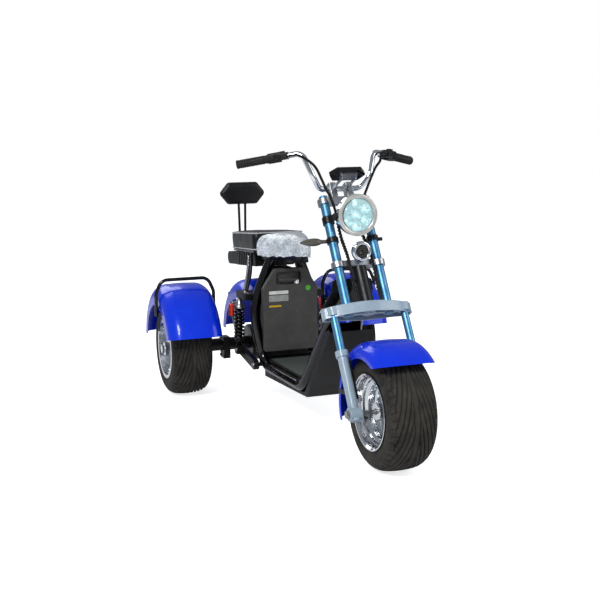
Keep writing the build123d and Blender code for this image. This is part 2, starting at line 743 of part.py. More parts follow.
floor_top_z = floor_tube_z + frame_tube_radius + 2
member_depth = 25.0
battery_low_z = 222.0
battery_rear_x = -472.0
with BuildPart() as cross_members:
    for x in (-250.0, -70.0, 120.0):
        with BuildSketch(Plane.XY.offset(floor_top_z - member_depth)):
            with Locations((x, 0)):
                Rectangle(34, 220)
        extrude(amount=member_depth)
    # the shelf that the battery stands on, with two bearers
    with BuildSketch(Plane.XY.offset(battery_low_z - 6 - fit)):
        with Locations(((battery_rear_x - 290) / 2, 0)):
            Rectangle(-290 - battery_rear_x, 216)
    extrude(amount=6)
    for x in (-404, -318):
        with BuildSketch(Plane.XY.offset(floor_tube_z - 10)):
            with Locations((x, 0)):
                Rectangle(26, 214)
        extrude(amount=battery_low_z - 6 - floor_tube_z + 10)
    for side, sign in sides:
        add(side_tube(sign, frame_tube_radius + fit), mode=Mode.SUBTRACT)
        # nothing is left outside the tubes
        with BuildSketch(Plane.XY.offset(floor_tube_z - 40)):
            with Locations((-100, sign * 172)):
                Rectangle(900, 110)
        extrude(amount=60, mode=Mode.SUBTRACT)
save(cross_members, "cross_members")

tongue_half = floor_front_y - frame_tube_radius - 4    # the boards meet between the tubes
with BuildPart() as floor_board:
    with BuildSketch(Plane.XY.offset(floor_top_z + fit)) as board_outline:
        with BuildLine():
            Polyline((floor_rear_x + 54, floor_rear_y - 4), (floor_front_x - 54, floor_front_y - 6),
                     (floor_front_x - 54, tongue_half), (floor_front_x - 10, tongue_half),
                     (floor_front_x - 10, -tongue_half), (floor_front_x - 54, -tongue_half),
                     (floor_front_x - 54, -floor_front_y + 6), (floor_rear_x + 54, -floor_rear_y + 4), close=True)
        make_face()
    extrude(amount=board_thickness)
# the kick panel lies on the rider's side of the two tubes that rise to the head
panel_thickness = 4.0
tube_rise = (Vector(345, 0, 472) - Vector(floor_front_x, 0, floor_tube_z)).normalized()
behind = Vector(-tube_rise.Z, 0, tube_rise.X) * (frame_tube_radius + panel_thickness + 0.3)
kick_low = Vector(floor_front_x, 0, floor_tube_z) + tube_rise * 52 + behind
kick_length = 268.0
with BuildPart() as floor_boards:
    add(floor_board.part)
    kick_plane = Plane(origin=kick_low, x_dir=(0, 1, 0), z_dir=Vector(0, 1, 0).cross(tube_rise))
    with BuildSketch(kick_plane) as kick_outline:
        with BuildLine():
            Polyline((-98, 0), (-tongue_half, 0), (-tongue_half, -34), (tongue_half, -34), (tongue_half, 0),
                     (98, 0), (62, kick_length), (-62, kick_length), close=True)
        make_face()
        fillet(kick_outline.vertices().group_by(Axis.Z)[-1], 10)
    extrude(amount=panel_thickness)
save(floor_boards, "floor_boards")

# the leg shield carries on above it, behind the neck and the upper ends of the two tubes
shield_top_half, shield_foot_half = 82.0, 100.0
shield_low = -20.0             # along the neck from the tubes' bend
shield_face_x, shield_top_z = 430.0, 652.0      # its upright upper part stays clear of the turning fork
bend = Vector(345, 0, 472)
off_neck = Vector(-neck_rise.Z, 0, neck_rise.X)
shield_foot = bend + off_neck * (neck_radius + 0.3) + neck_rise * shield_low
neck_slope = neck_rise.Z / neck_rise.X
rear_foot = shield_foot + off_neck * panel_thickness
shield_front_x = shield_face_x + panel_thickness
rear_turn_z = rear_foot.Z + (shield_face_x - rear_foot.X) * neck_slope
front_turn_z = shield_foot.Z + (shield_front_x - shield_foot.X) * neck_slope
with BuildPart() as leg_shield:
    with BuildSketch(Plane.XZ):
        with BuildLine():
            Polyline((rear_foot.X, rear_foot.Z), (shield_face_x, rear_turn_z), (shield_face_x, shield_top_z),
                     (shield_front_x, shield_top_z), (shield_front_x, front_turn_z), (shield_foot.X, shield_foot.Z),
                     close=True)
        make_face()
    extrude(amount=150, both=True)
    with BuildSketch(Plane.YZ) as shield_outline:
        with BuildLine():
            Polyline((-shield_foot_half, 460), (shield_foot_half, 460), (shield_top_half, shield_top_z),
                     (-shield_top_half, shield_top_z), close=True)
        make_face()
        fillet(shield_outline.vertices().group_by(Axis.Z)[-1], 18)
    extrude(amount=600, mode=Mode.INTERSECT)
save(leg_shield, "leg_shield")

# ---------------------------------------------------------------- belly pan
belly_half_width = 103.0
belly_neck_half_width = 90.0
belly_wall = 4.0
belly_top_z = floor_tube_z - frame_tube_radius - 0.2
rise_ahead = Vector(tube_rise.Z, 0, -tube_rise.X)
rise_foot = Vector(floor_front_x, 0, floor_tube_z) + rise_ahead * (frame_tube_radius + 0.3)
neck_distance = 312.0
keel_top = rise_foot + tube_rise * neck_distance


def keel(wall):
    """The pan's solid: along the floor, then up against the front of the rising tubes, narrowing."""
    half, neck = belly_half_width - wall, belly_neck_half_width - wall
    with BuildPart() as body:
        with BuildSketch(Plane.XZ):
            with BuildLine():
                Polyline((-350 + wall, 112 + wall), (195, 137 + wall), (228 - wall, 186), (440 - wall, 470),
                         (keel_top.X + 2 * wall, keel_top.Z + 2 * wall), (rise_foot.X - wall, rise_foot.Z),
                         (rise_foot.X - 18, belly_top_z + wall), (-350 + wall, belly_top_z + wall), close=True)
            make_face()
        extrude(amount=150, both=True)
        with BuildSketch(Plane(origin=rise_foot, x_dir=(0, 1, 0), z_dir=rise_ahead)):
            with BuildLine():
                Polyline((-half, -500), (half, -500), (half, 0), (neck, neck_distance), (neck, neck_distance + 60),
                         (-neck, neck_distance + 60), (-neck, neck_distance), (-half, 0), close=True)
            make_face()
        extrude(amount=600, both=True, mode=Mode.INTERSECT)
    return body.part


with BuildPart() as belly_pan:
    add(keel(0))
    add(keel(belly_wall), mode=Mode.SUBTRACT)
save(belly_pan, "belly_pan")

# ---------------------------------------------------------------- battery
cover_thickness = 24.0
battery_top_z = battery_low_z + battery_height + 16
with BuildPart() as battery_cover:
    with BuildSketch(Plane.YZ.offset(battery_front_x - cover_thickness)) as cover_outline:
        with BuildLine():
            half = battery_width / 2
            Polyline((-half + 5, battery_low_z + 16), (half - 5, battery_low_z + 16), (half, battery_top_z - 90),
                     (72, battery_top_z), (-72, battery_top_z), (-half, battery_top_z - 90), close=True)
        make_face()
        fillet(cover_outline.vertices(), 9)
    extrude(amount=cover_thickness)
    fillet(battery_cover.faces().sort_by(Axis.X)[-1].edges(), 4)
    # the recess behind the carrying handle
    with BuildSketch(Plane.YZ.offset(battery_front_x - 18)):
        with Locations((-8, battery_top_z - 44)):
            RectangleRounded(118, 58, 12)
    extrude(amount=30, mode=Mode.SUBTRACT)
    # the carrying handle across it
    with BuildLine() as handle_route:
        handle_z = battery_top_z - 52
        grip_x = battery_front_x + 4
        FilletPolyline((battery_front_x - 19, -52, handle_z), (grip_x, -52, handle_z), (grip_x, 36, handle_z),
                       (battery_front_x - 19, 36, handle_z), radius=10)
    with BuildSketch(Plane(origin=handle_route.wires()[0] @ 0, z_dir=(1, 0, 0))):
        Circle(5)
    sweep()
save(battery_cover, "battery_cover")

pack_half = 92.0               # narrower than its cover, clear of the hoop
with BuildPart() as battery_pack:
    with BuildSketch(Plane.YZ.offset(battery_rear_x)) as pack_outline:
        with BuildLine():
            shoulder_z, pack_top_z = battery_top_z - 116, battery_top_z - 10
            Polyline((-pack_half, battery_low_z), (pack_half, battery_low_z), (pack_half, shoulder_z),
                     (52, pack_top_z), (-52, pack_top_z), (-pack_half, shoulder_z), close=True)
        make_face()
        fillet(pack_outline.vertices(), 8)
    extrude(amount=battery_front_x - cover_thickness - fit - battery_rear_x)
save(battery_pack, "battery_pack")

# ================================================================ seats
bracket_x = -344.0
with BuildPart() as seat_bracket:
    with BuildSketch(Plane.XY.offset(bracket_low_z)):
        with Locations((bracket_x, 0)):
            RectangleRounded(76, 196, 14)
        with Locations((-300, 0)):
            RectangleRounded(320, 84, 14)
    extrude(amount=bracket_high_z - bracket_low_z)
    # the nose strut down to the top of the battery bay
    with BuildSketch(Plane.XY.offset(bracket_low_z)):
        with Locations((-250, 36), (-250, -36)):
            Rectangle(40, 8)
    extrude(amount=-24)
save(seat_bracket, "seat_bracket")

front_seat_rear_x, front_seat_nose_x = -402.0, -80.0
front_seat_half = 119.0
front_seat_nose_half = 28.0


def saddle_outline(place, grow, corner):
    """The saddle from above, grown by grow: broad behind, with straight sides to a narrow nose."""
    rear = front_seat_rear_x - place.origin.X - grow
    nose = front_seat_nose_x - place.origin.X + grow
    haunch = rear + 62
    with BuildSketch(place) as outline:
        with BuildLine():
            wide = front_seat_half + grow
            shoulder = wide - 13
            narrow = front_seat_nose_half + grow
            Polyline((rear, -wide), (haunch, -shoulder), (nose, -narrow), (nose, narrow), (haunch, shoulder),
                     (rear, wide), close=True)
        make_face()
        fillet(outline.vertices(), corner)
    return outline.sketch


saddle_top = Plane(origin=(-223, 0, bracket_high_z + 108), x_dir=(1, 0, 0.06), z_dir=(-0.06, 0, 1))
with BuildPart() as front_seat:
    loft([
        saddle_outline(Plane.XY.offset(bracket_high_z + 0.3), -14, 12).face(),
        saddle_outline(Plane.XY.offset(bracket_high_z + 46), 0, 24).face(),
        saddle_outline(saddle_top, -18, 9).face(),
    ])
save(front_seat, "front_seat")

seat_tilt = 4.5                # the rear seat falls towards the back
rear_seat_front_x, rear_seat_rear_x = -412.0, -968.0
rear_seat_low_z = 682.0        # underside at its front end
rear_seat_thickness = 84.0
seat_plane = Plane(origin=(rear_seat_front_x, 0, rear_seat_low_z),
                   x_dir=(cos(radians(seat_tilt)), 0, sin(radians(seat_tilt))),
                   z_dir=(-sin(radians(seat_tilt)), 0, cos(radians(seat_tilt))))
rear_seat_length = rear_seat_front_x - rear_seat_rear_x
rear_seat_front_half, rear_seat_rear_half = 128.0, 66.0


def rear_seat_outline(inset, corner):
    """The seat from above: a straight-sided wedge that narrows towards the back."""
    with BuildSketch() as outline:
        with BuildLine():
            front, rear = rear_seat_front_half - inset, rear_seat_rear_half - inset
            Polyline((-inset, -front), (-inset, front), (inset - rear_seat_length, rear),
                     (inset - rear_seat_length, -rear), close=True)
        make_face()
        fillet(outline.vertices(), corner)
    return outline.sketch


with BuildPart() as rear_seat:
    with BuildSketch(seat_plane):
        add(rear_seat_outline(0, 26))
    extrude(amount=rear_seat_thickness)
    fillet(rear_seat.faces().sort_by(Axis.Z)[-1].edges(), 12)
    fillet(rear_seat.faces().sort_by(Axis.Z)[0].edges(), 5)
save(rear_seat, "rear_seat")

base_thickness = 8.0
post_radius = 6.0
backrest_x = -961.0            # front face of the pad
backrest_z = 916.0
with BuildPart() as rear_seat_frame:
    with BuildSketch(seat_plane.offset(-base_thickness - 0.3)):
        add(rear_seat_outline(6, 22))
    extrude(amount=base_thickness)
    # a spacer down to the seat bracket
    with BuildSketch(Plane.XY.offset(bracket_high_z + fit)):
        with Locations((rear_seat_front_x - 26, 0)):
            Rectangle(30, 70)
    extrude(amount=10)
    # two posts rise behind the seat to the backrest
    post_drop = -base_thickness / 2 - 2.5
    for side, sign in sides:
        low = seat_plane.from_local_coords((-rear_seat_length + 10, sign * 13, post_drop))
        corner = seat_plane.from_local_coords((-rear_seat_length - 20, sign * 13, post_drop))
        add(cable([(low.X, low.Y, low.Z), (corner.X, corner.Y, corner.Z), (backrest_x - 26, sign * 18, backrest_z)],
                  [20], post_radius))
save(rear_seat_frame, "rear_seat_frame")

pad_half_width, pad_half_height, pad_depth = 121.0, 54.0, 40.0
with BuildPart() as backrest_pad:
    with BuildSketch(Plane.YZ.offset(backrest_x - pad_depth)) as pad_outline:
        with BuildLine():
            pad_top, pad_bottom = backrest_z + pad_half_height, backrest_z - pad_half_height
            Polyline((-pad_half_width, backrest_z), (-76, pad_top), (76, pad_top), (pad_half_width, backrest_z),
                     (76, pad_bottom), (-76, pad_bottom), close=True)
        make_face()
        fillet(pad_outline.vertices(), 14)
    extrude(amount=pad_depth)
    fillet(backrest_pad.faces().sort_by(Axis.X)[-1].edges(), 8)
    add(rear_seat_frame.part, mode=Mode.SUBTRACT)
save(backrest_pad, "backrest_pad")

box_top = -base_thickness - 0.6
box_front, box_rear, tail_rear = -78.0, -380.0, -506.0
box_half_width, box_height = 94.0, 66.0
with BuildPart() as controller_box:
    with BuildSketch(seat_plane.offset(box_top)):
        with Locations(((box_front + box_rear) / 2, 0)):
            Rectangle(box_front - box_rear, 2 * box_half_width)
    extrude(amount=-box_height)
    with BuildSketch(seat_plane.offset(box_top)):
        with GridLocations(30, 2 * box_half_width, 8, 2):
            with Locations(((box_front + box_rear) / 2, 0)):
                Rectangle(13, 16)
    extrude(amount=-box_height, mode=Mode.SUBTRACT)
    # the round-backed lamp housing behind it
    with BuildSketch(Plane(origin=seat_plane.origin, x_dir=seat_plane.x_dir, z_dir=(0, -1, 0))):
        with Locations(((box_rear + tail_rear) / 2, box_top - box_height / 2)):
            SlotOverall(box_rear - tail_rear + 60, box_height - 4)
    extrude(amount=box_half_width, both=True)
save(controller_box, "controller_box")

lamp_place = seat_plane.from_local_coords((tail_rear - 30, 0, box_top - box_height / 2))
with BuildPart() as tail_light:
    with BuildSketch(Plane(origin=lamp_place, x_dir=(0, 1, 0), z_dir=seat_plane.x_dir)):
        RectangleRounded(110, 34, 12)
    extrude(amount=-6)
    with BuildSketch(Plane(origin=lamp_place, x_dir=(0, 1, 0), z_dir=seat_plane.x_dir)):
        RectangleRounded(110, 34, 12)
    extrude(amount=30)
    add(controller_box.part, mode=Mode.SUBTRACT)
save(tail_light, "tail_light")

# ================================================================ rear end
arm_y, arm_thickness, arm_width = 142.0, 22.0, 44.0
pivot_x = -332.0
pivot_radius = 9.0
housing_radius, housing_bore, bearing_width = 30.0, 21.0, 16.0
housing_half = half_track - hub_half_width - 22.0      # the housing ends inboard of the hubs
clamp_y, clamp_width = 206.0, 32.0
shock_low = (-498.0, 178.0, 232.0)
shock_high = (-480.0, 178.0, 462.0)


def side_plane(y):
    """The upright plane along the vehicle at y: local x ahead, local y up."""
    return Plane.XZ.offset(-y)


with BuildPart() as rear_axle_frame:
    with BuildSketch(axle_plane(rear_axle_x, 0)):
        Circle(housing_radius)
    extrude(amount=housing_half, both=True)
    for side, sign in sides:
        # trailing arm from the axle to its pivot on the frame
        add(bar((rear_axle_x, axle_z), (pivot_x, floor_tube_z), sign * arm_y, sign, arm_width, arm_thickness))
        with BuildSketch(side_plane(sign * (arm_y - 6))):
            with Locations((pivot_x, floor_tube_z)):
                Circle(pivot_radius)
        extrude(amount=22, both=True)
        # shock mount on the arm's outer face
        with BuildSketch(side_plane(sign * shock_low[1])):
            with Locations((shock_low[0], shock_low[2] - 18)):
                RectangleRounded(44, 40, 8)
        extrude(amount=16, both=True)
        with BuildSketch(side_plane(sign * clamp_y)):
            with Locations((rear_axle_x, axle_z - 14)):
                RectangleRounded(66, 104, 6)
        extrude(amount=clamp_width / 2, both=True)
        add(side_tube(sign, frame_tube_radius + fit), mode=Mode.SUBTRACT)
    with BuildSketch(axle_plane(rear_axle_x, 0)):
        Circle(housing_bore)
    extrude(amount=housing_half - bearing_width, both=True, mode=Mode.SUBTRACT)
    # the half shafts run in bearings at the ends of the housing
    with BuildSketch(axle_plane(rear_axle_x, 0)):
        Circle(half_shaft_radius + pin_clearance)
    extrude(amount=housing_half + 1, both=True, mode=Mode.SUBTRACT)
save(rear_axle_frame, "rear_axle_frame")

motor_radius, motor_half = 86.0, 92.0
with BuildPart() as drive_motor:
    with BuildSketch(axle_plane(rear_axle_x, 0)):
        Circle(motor_radius)
        Circle(housing_radius + fit, mode=Mode.SUBTRACT)
    extrude(amount=motor_half, both=True)
    fillet(drive_motor.edges().filter_by(GeomType.CIRCLE).group_by(SortBy.RADIUS)[-1], 6)
save(drive_motor, "drive_motor")

# ---------------------------------------------------------------- shocks and what carries the rear of the frame
shock_radius, shock_rod_radius = 25.0, 10.0
reservoir_radius, reservoir_length = 13.0, 58.0
shock_run = Vector(*shock_high) - Vector(*shock_low)
shock_slant = shock_run.normalized()
shock_length = shock_run.length
with BuildPart() as rear_shocks:
    for side, sign in sides:
        foot = Vector(shock_low[0], sign * shock_low[1], shock_low[2])
        stages = ((4.4, 28, 15), (28, shock_length - 60, shock_radius), (shock_length - 36, 36, 14))
        for start, length, radius in stages:
            with BuildSketch(Plane(origin=foot + shock_slant * start, z_dir=shock_slant)):
                Circle(radius)
            extrude(amount=length)
        # the gas reservoir stands beside the spring on its outer side
        bottle_foot = foot + shock_slant * (shock_length - 84) + Vector(-4, sign * 37, 0)
        with BuildSketch(Plane(origin=bottle_foot, z_dir=shock_slant)):
            Circle(reservoir_radius)
        extrude(amount=reservoir_length)
        link_foot = foot + shock_slant * (shock_length - 30) + Vector(-4, sign * 18, 0)
        with BuildSketch(Plane(origin=link_foot, z_dir=shock_slant)):
            Rectangle(18, 34)
        extrude(amount=16)
save(rear_shocks, "rear_shocks")

strut_radius = 8.0
with BuildPart() as rear_subframe:
    for side, sign in sides:
        # a beam from the hoop back over the shock
        with BuildSketch(side_plane(sign * 160)):
            with Locations(((shock_high[0] - 24 - 356) / 2, shock_high[2] + 17.4)):
                RectangleRounded(-356 - shock_high[0] + 24, 32, 7)
        extrude(amount=26, both=True)
        # the strut up to the seat frame
        top = seat_plane.from_local_coords((-112, sign * 104, -base_thickness - 0.6))
        add(cable([(top.X, top.Y, top.Z), (-492.0, sign * 118, 570.0), (-478.0, sign * 146, shock_high[2] + 20)],
                  [200], strut_radius))
        with BuildSketch(seat_plane.offset(-base_thickness - 0.6)):
            with Locations((-112, sign * 104)):
                Circle(strut_radius)
        extrude(amount=-12)
        add(side_tube(sign, frame_tube_radius + fit), mode=Mode.SUBTRACT)
        with BuildSketch(seat_plane.offset(-base_thickness - 0.6)):
            with Locations((-112, sign * 104)):
                Circle(40)
        extrude(amount=30, mode=Mode.SUBTRACT)
save(rear_subframe, "rear_subframe")

# ================================================================ rear fenders and rails
rear_fender_sizes = (fender_half_width, fender_crown_radius, fender_edge_radius, 62)
fender_front_cut = (205, 79, (0.17, 0, -0.985))
fender_rear_cut = (-250, 39, (0, 0, -1))
for side, sign in sides:
    rear_fender = fender(rear_axle_x, sign * half_track, rear_fender_sizes, 8, 172, fender_front_cut, fender_rear_cut)
    save(rear_fender, f"{side}_rear_fender")
centre_half_width = 144.0
centre_fender_sizes = (centre_half_width, fender_crown_radius, fender_edge_radius, 62)
centre_fender = fender(rear_axle_x, 0, centre_fender_sizes, 66, 114, fender_rear_cut, fender_rear_cut)
save(centre_fender, "centre_fender")

with BuildPart() as fender_stays:
    for side, sign in sides:
        outer_stays = (half_track - fender_half_width - fit, (62, 118))
        centre_stays = (centre_half_width - fender_thickness - fit, (78, 128))
        for wall_y, angles in (outer_stays, centre_stays):
            y = sign * wall_y
            reach = fender_edge_radius + 13
            for angle in angles:
                tip = (rear_axle_x + reach * cos(radians(angle)), axle_z + reach * sin(radians(angle)))
                add(bar((rear_axle_x, axle_z), tip, y, -sign, 24, 5))
            with BuildSketch(Plane(origin=(rear_axle_x, y, axle_z), x_dir=(1, 0, 0), z_dir=(0, -sign, 0))):
                Circle(housing_radius + 14)
            extrude(amount=5)
    with BuildSketch(axle_plane(rear_axle_x, 0)):
        Circle(housing_radius + fit)
    extrude(amount=housing_half + 20, both=True, mode=Mode.SUBTRACT)
save(fender_stays, "fender_stays")

rail_x = rear_axle_x + 60
rail_radius = 8.0
rail_foot_gap = 3.0
rail_height = 551.0
rail_bend_y = 110.0            # the upper bends, out from the middle of the fender
with BuildPart() as grab_rails:
    for side, sign in sides:
        offset_y = fender_half_width + rail_foot_gap + rail_radius
        outer, inner = sign * (half_track + offset_y), sign * (half_track - offset_y)
        outer_bend, inner_bend = sign * (half_track + rail_bend_y), sign * (half_track - rail_bend_y)
        route = [(rail_x, outer, 385), (rail_x, outer, 488), (rail_x, outer_bend, rail_height),
                 (rail_x, inner_bend, rail_height), (rail_x, inner, 488), (rail_x, inner, 385)]
        add(cable(route, [40, 44, 44, 40], rail_radius))
        for foot_y, out in ((outer, -sign), (inner, sign)):
            for z in (398, 424):
                with BuildSketch(Plane(origin=(rail_x, foot_y, z), x_dir=(1, 0, 0), z_dir=(0, out, 0))):
                    Circle(7)
                extrude(amount=rail_radius + rail_foot_gap - fit)
save(grab_rails, "grab_rails")

plate_half_width, plate_height = 92.0, 120.0
plate_x, plate_low_z = -966.0, 300.0
plate_hole_spread = 70.0
plate_hole_radius = 3.3
with BuildPart() as plate_bracket:
    with BuildSketch(Plane.YZ.offset(plate_x)) as plate_face:
        with Locations((0, plate_low_z + plate_height / 2)):
            RectangleRounded(2 * plate_half_width, plate_height, 10)
            with Locations((-plate_hole_spread, 0), (plate_hole_spread, 0)):
                Circle(plate_hole_radius, mode=Mode.SUBTRACT)
    extrude(amount=4)
    with BuildSketch(Plane.YZ.offset(plate_x + 4)):
        with Locations((0, plate_low_z + 60)):
            Rectangle(60, 12)
    extrude(amount=50.5)
    add(centre_fender.part, mode=Mode.SUBTRACT)
save(plate_bracket, "plate_bracket")
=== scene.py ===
from math import cos, pi, radians, sin
import bmesh
import bpy
import numpy as np
from mathutils import Matrix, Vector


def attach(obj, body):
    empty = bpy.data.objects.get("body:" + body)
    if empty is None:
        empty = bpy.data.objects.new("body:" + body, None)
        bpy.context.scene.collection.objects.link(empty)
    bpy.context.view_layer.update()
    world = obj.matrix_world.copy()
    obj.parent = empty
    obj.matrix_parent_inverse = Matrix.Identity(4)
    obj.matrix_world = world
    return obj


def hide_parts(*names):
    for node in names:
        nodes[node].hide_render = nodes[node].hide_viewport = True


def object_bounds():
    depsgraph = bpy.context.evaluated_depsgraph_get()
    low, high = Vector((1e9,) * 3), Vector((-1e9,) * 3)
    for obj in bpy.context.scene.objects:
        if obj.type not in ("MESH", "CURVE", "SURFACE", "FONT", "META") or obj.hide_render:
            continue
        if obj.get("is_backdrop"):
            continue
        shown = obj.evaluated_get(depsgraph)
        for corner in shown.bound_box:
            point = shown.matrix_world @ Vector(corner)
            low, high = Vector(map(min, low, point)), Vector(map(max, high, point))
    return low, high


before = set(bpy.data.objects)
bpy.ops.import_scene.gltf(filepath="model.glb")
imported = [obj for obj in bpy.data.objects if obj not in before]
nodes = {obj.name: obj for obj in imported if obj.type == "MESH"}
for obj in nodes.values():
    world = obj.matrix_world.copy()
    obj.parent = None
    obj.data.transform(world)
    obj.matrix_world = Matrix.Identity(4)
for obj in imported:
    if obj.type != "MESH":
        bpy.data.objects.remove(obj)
cad_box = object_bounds()

# ---------------------------------------------------------------- camera
# A long lens stands ahead of the trike on the rider's right, above the bars, looking slightly down.
def facing(right, up, sight, place):
    """The matrix of a camera or lamp: its axes are the right, the way up and the reverse of its sight."""
    return Matrix([[right[k], up[k], -sight[k], place[k]] for k in range(3)] + [[0, 0, 0, 1]])


def unit(vector):
    """The vector divided by its length."""
    vector = np.asarray(vector, dtype=float)
    return vector / np.linalg.norm(vector)


eye = np.array([4.0987, -1.5640, 1.1943])
turn, dip, roll = radians(20.2), radians(8.9), radians(-0.8)
sight = np.array([-cos(turn) * cos(dip), sin(turn) * cos(dip), -sin(dip)])
level = unit(np.cross(sight, [0, 0, 1]))
rise = np.cross(level, sight)
right_hand = level * cos(roll) + rise * sin(roll)
upward = rise * cos(roll) - level * sin(roll)
camera = bpy.data.objects.new("camera", bpy.data.cameras.new("camera"))
camera.data.lens = 62.6
camera.data.clip_end = 60
camera.matrix_world = facing(right_hand, upward, sight, eye)
bpy.context.scene.collection.objects.link(camera)
bpy.context.scene.camera = camera
bpy.context.scene.view_settings.view_transform = "Standard"


# ---------------------------------------------------------------- floor, backdrop and light
# A plain white studio: a flat floor of matt paper, three broad soft lamps and an even sky.
def linear(code):
    """Linear colour of an sRGB hex code, by the standard curve."""
    c = np.array([int(code[k:k + 2], 16) for k in (1, 3, 5)]) / 255
    c = np.where(c <= 0.04045, c / 12.92, ((c + 0.055) / 1.055) ** 2.4)
    return (*c.tolist(), 1.0)


def add_node(tree, kind, settings=None, links=None):
    """Adds a node: settings are properties or sockets by name or number, links are (node, output)."""
    node = tree.nodes.new(kind)
    for name, value in (settings or {}).items():
        if isinstance(name, int) or name in node.inputs:
            node.inputs[name].default_value = value
        else:
            setattr(node, name, value)
    for name, (source, output) in (links or {}).items():
        tree.links.new(source.outputs[output], node.inputs[name])
    return node


def empty_material(name):
    """A material with every node cleared from its tree, and its node tree."""
    material = bpy.data.materials.new(name)
    material.use_nodes = True
    material.node_tree.nodes.clear()
    return material, material.node_tree


def mesh_piece(name, points, faces, material, body=None):
    """A smooth-shaded mesh object at the origin from arrays of points and faces, riding on a body."""
    mesh = bpy.data.meshes.new(name)
    points = np.asarray(points, dtype=float).reshape(-1, 3)
    mesh.from_pydata(points.tolist(), [], [list(map(int, f)) for f in faces])
    mesh.update()
    mesh.polygons.foreach_set("use_smooth", [True] * len(mesh.polygons))
    piece = bpy.data.objects.new(name, mesh)
    bpy.context.scene.collection.objects.link(piece)
    mesh.materials.append(material)
    if body:
        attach(piece, body)
    return piece


paper, tree = empty_material("matt_white_paper")
path = add_node(tree, "ShaderNodeLightPath")
shade = add_node(tree, "ShaderNodeBsdfDiffuse", {"Color": linear("#F4F4F4")})
glow = add_node(tree, "ShaderNodeEmission", {"Color": (1, 1, 1, 1), "Strength": 0.76})
part_glow = add_node(tree, "ShaderNodeMixShader", {}, {0: (path, "Is Camera Ray"), 2: (glow, 0)})
both = add_node(tree, "ShaderNodeAddShader", {}, {0: (shade, 0), 1: (part_glow, 0)})
add_node(tree, "ShaderNodeOutputMaterial", {}, {"Surface": (both, 0)})
reach = 20                     # metres of paper on each side
corners = [(-reach, -reach, 0), (reach, -reach, 0), (reach, reach, 0), (-reach, reach, 0)]
floor = mesh_piece("floor", corners, [(0, 1, 2, 3)], paper)
floor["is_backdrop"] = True

world = bpy.data.worlds.new("even_sky")
bpy.context.scene.world = world
world.use_nodes = True
tree = world.node_tree
tree.nodes.clear()
path = add_node(tree, "ShaderNodeLightPath")
sky = add_node(tree, "ShaderNodeBackground", {"Color": linear("#E8EEF6"), "Strength": 0.34})
backdrop = add_node(tree, "ShaderNodeBackground", {"Color": (1, 1, 1, 1), "Strength": 1.0})
shown = add_node(tree, "ShaderNodeMixShader", {}, {0: (path, "Is Camera Ray"), 1: (sky, 0), 2: (backdrop, 0)})
add_node(tree, "ShaderNodeOutputWorld", {}, {"Surface": (shown, 0)})

# Name, place in metres, diameter in metres and power in watts of each lamp.
lamps = (("key", (3.0, -2.6, 3.6), 1.6, 170),
         ("fill", (2.5, 3.4, 2.6), 3.0, 60),
         ("rear", (-3.5, -1.0, 3.0), 3.0, 70))
for name, place, size, power in lamps:
    lamp = bpy.data.objects.new(name + "_lamp", bpy.data.lights.new(name + "_lamp", "AREA"))
    lamp.data.shape = "DISK"
    lamp.data.size = size
    lamp.data.energy = power
    towards = unit(np.array([0, 0, 0.5]) - np.array(place))
    side = unit(np.cross(towards, [0, 0, 1]))
    lamp.matrix_world = facing(side, np.cross(side, towards), towards, place)
    bpy.context.scene.collection.objects.link(lamp)


# ---------------------------------------------------------------- tyres
# Wide road tyres of dark moulded rubber, with curved grooves that meet as a V and short cuts on the
# shoulders. Road dust lies on the tread and in the cuts.
def mottled(name, colour, worn, size_mm, roughness, rough_worn, metallic=0.0, bump=0.0, grain_mm=1.0,
            coat=0.0, cover=(0.35, 0.75), ior=1.33):
    """A finish with worn patches of about size_mm over a surface with fine grain.

    Noise on object coordinates mixes the colour and the roughness with those of the worn patches."""
    material, tree = empty_material(name)
    place = add_node(tree, "ShaderNodeTexCoord")
    patch = add_node(tree, "ShaderNodeTexNoise", {"Scale": 1000 / size_mm, "Detail": 6.0, "Roughness": 0.65},
                     {"Vector": (place, "Object")})
    spread = add_node(tree, "ShaderNodeMapRange", {"From Min": cover[0], "From Max": cover[1]},
                      {"Value": (patch, 0)})
    tone = add_node(tree, "ShaderNodeMix", {"data_type": "RGBA", 6: linear(colour), 7: linear(worn)},
                    {0: (spread, 0)})
    gloss = add_node(tree, "ShaderNodeMapRange", {"To Min": roughness, "To Max": rough_worn},
                     {"Value": (spread, 0)})
    settings = {"Metallic": metallic, "Coat Weight": coat, "Coat Roughness": 0.06}
    if not metallic:
        settings["IOR"] = ior
    links = {"Base Color": (tone, 2), "Roughness": (gloss, 0)}
    if bump:
        grain = add_node(tree, "ShaderNodeTexNoise", {"Scale": 1000 / grain_mm, "Detail": 3.0},
                         {"Vector": (place, "Object")})
        relief = add_node(tree, "ShaderNodeBump", {"Strength": bump, "Distance": grain_mm / 3000},
                          {"Height": (grain, 0)})
        links["Normal"] = (relief, 0)
    shader = add_node(tree, "ShaderNodeBsdfPrincipled", settings, links)
    add_node(tree, "ShaderNodeOutputMaterial", {}, {"Surface": (shader, 0)})
    return material


def grid_faces(rows, columns, wrap_rows, wrap_columns):
    """The quads of a grid of points, joined end to end where wrapped."""
    i, j = np.meshgrid(np.arange(rows if wrap_rows else rows - 1),
                       np.arange(columns if wrap_columns else columns - 1), indexing="ij")
    i2, j2 = (i + 1) % rows, (j + 1) % columns
    quads = [i * columns + j, i2 * columns + j, i2 * columns + j2, i * columns + j2]
    return np.stack(quads, -1).reshape(-1, 4)


def evenly(line, count, closed=False):
    """count points along a line of points, evenly spread by length; a closed one leaves out its end."""
    run = np.concatenate([[0], np.cumsum(np.linalg.norm(np.diff(line, axis=0), axis=1))])
    places = np.linspace(0, run[-1], count, endpoint=not closed)
    return np.stack([np.interp(places, run, column) for column in line.T], 1)


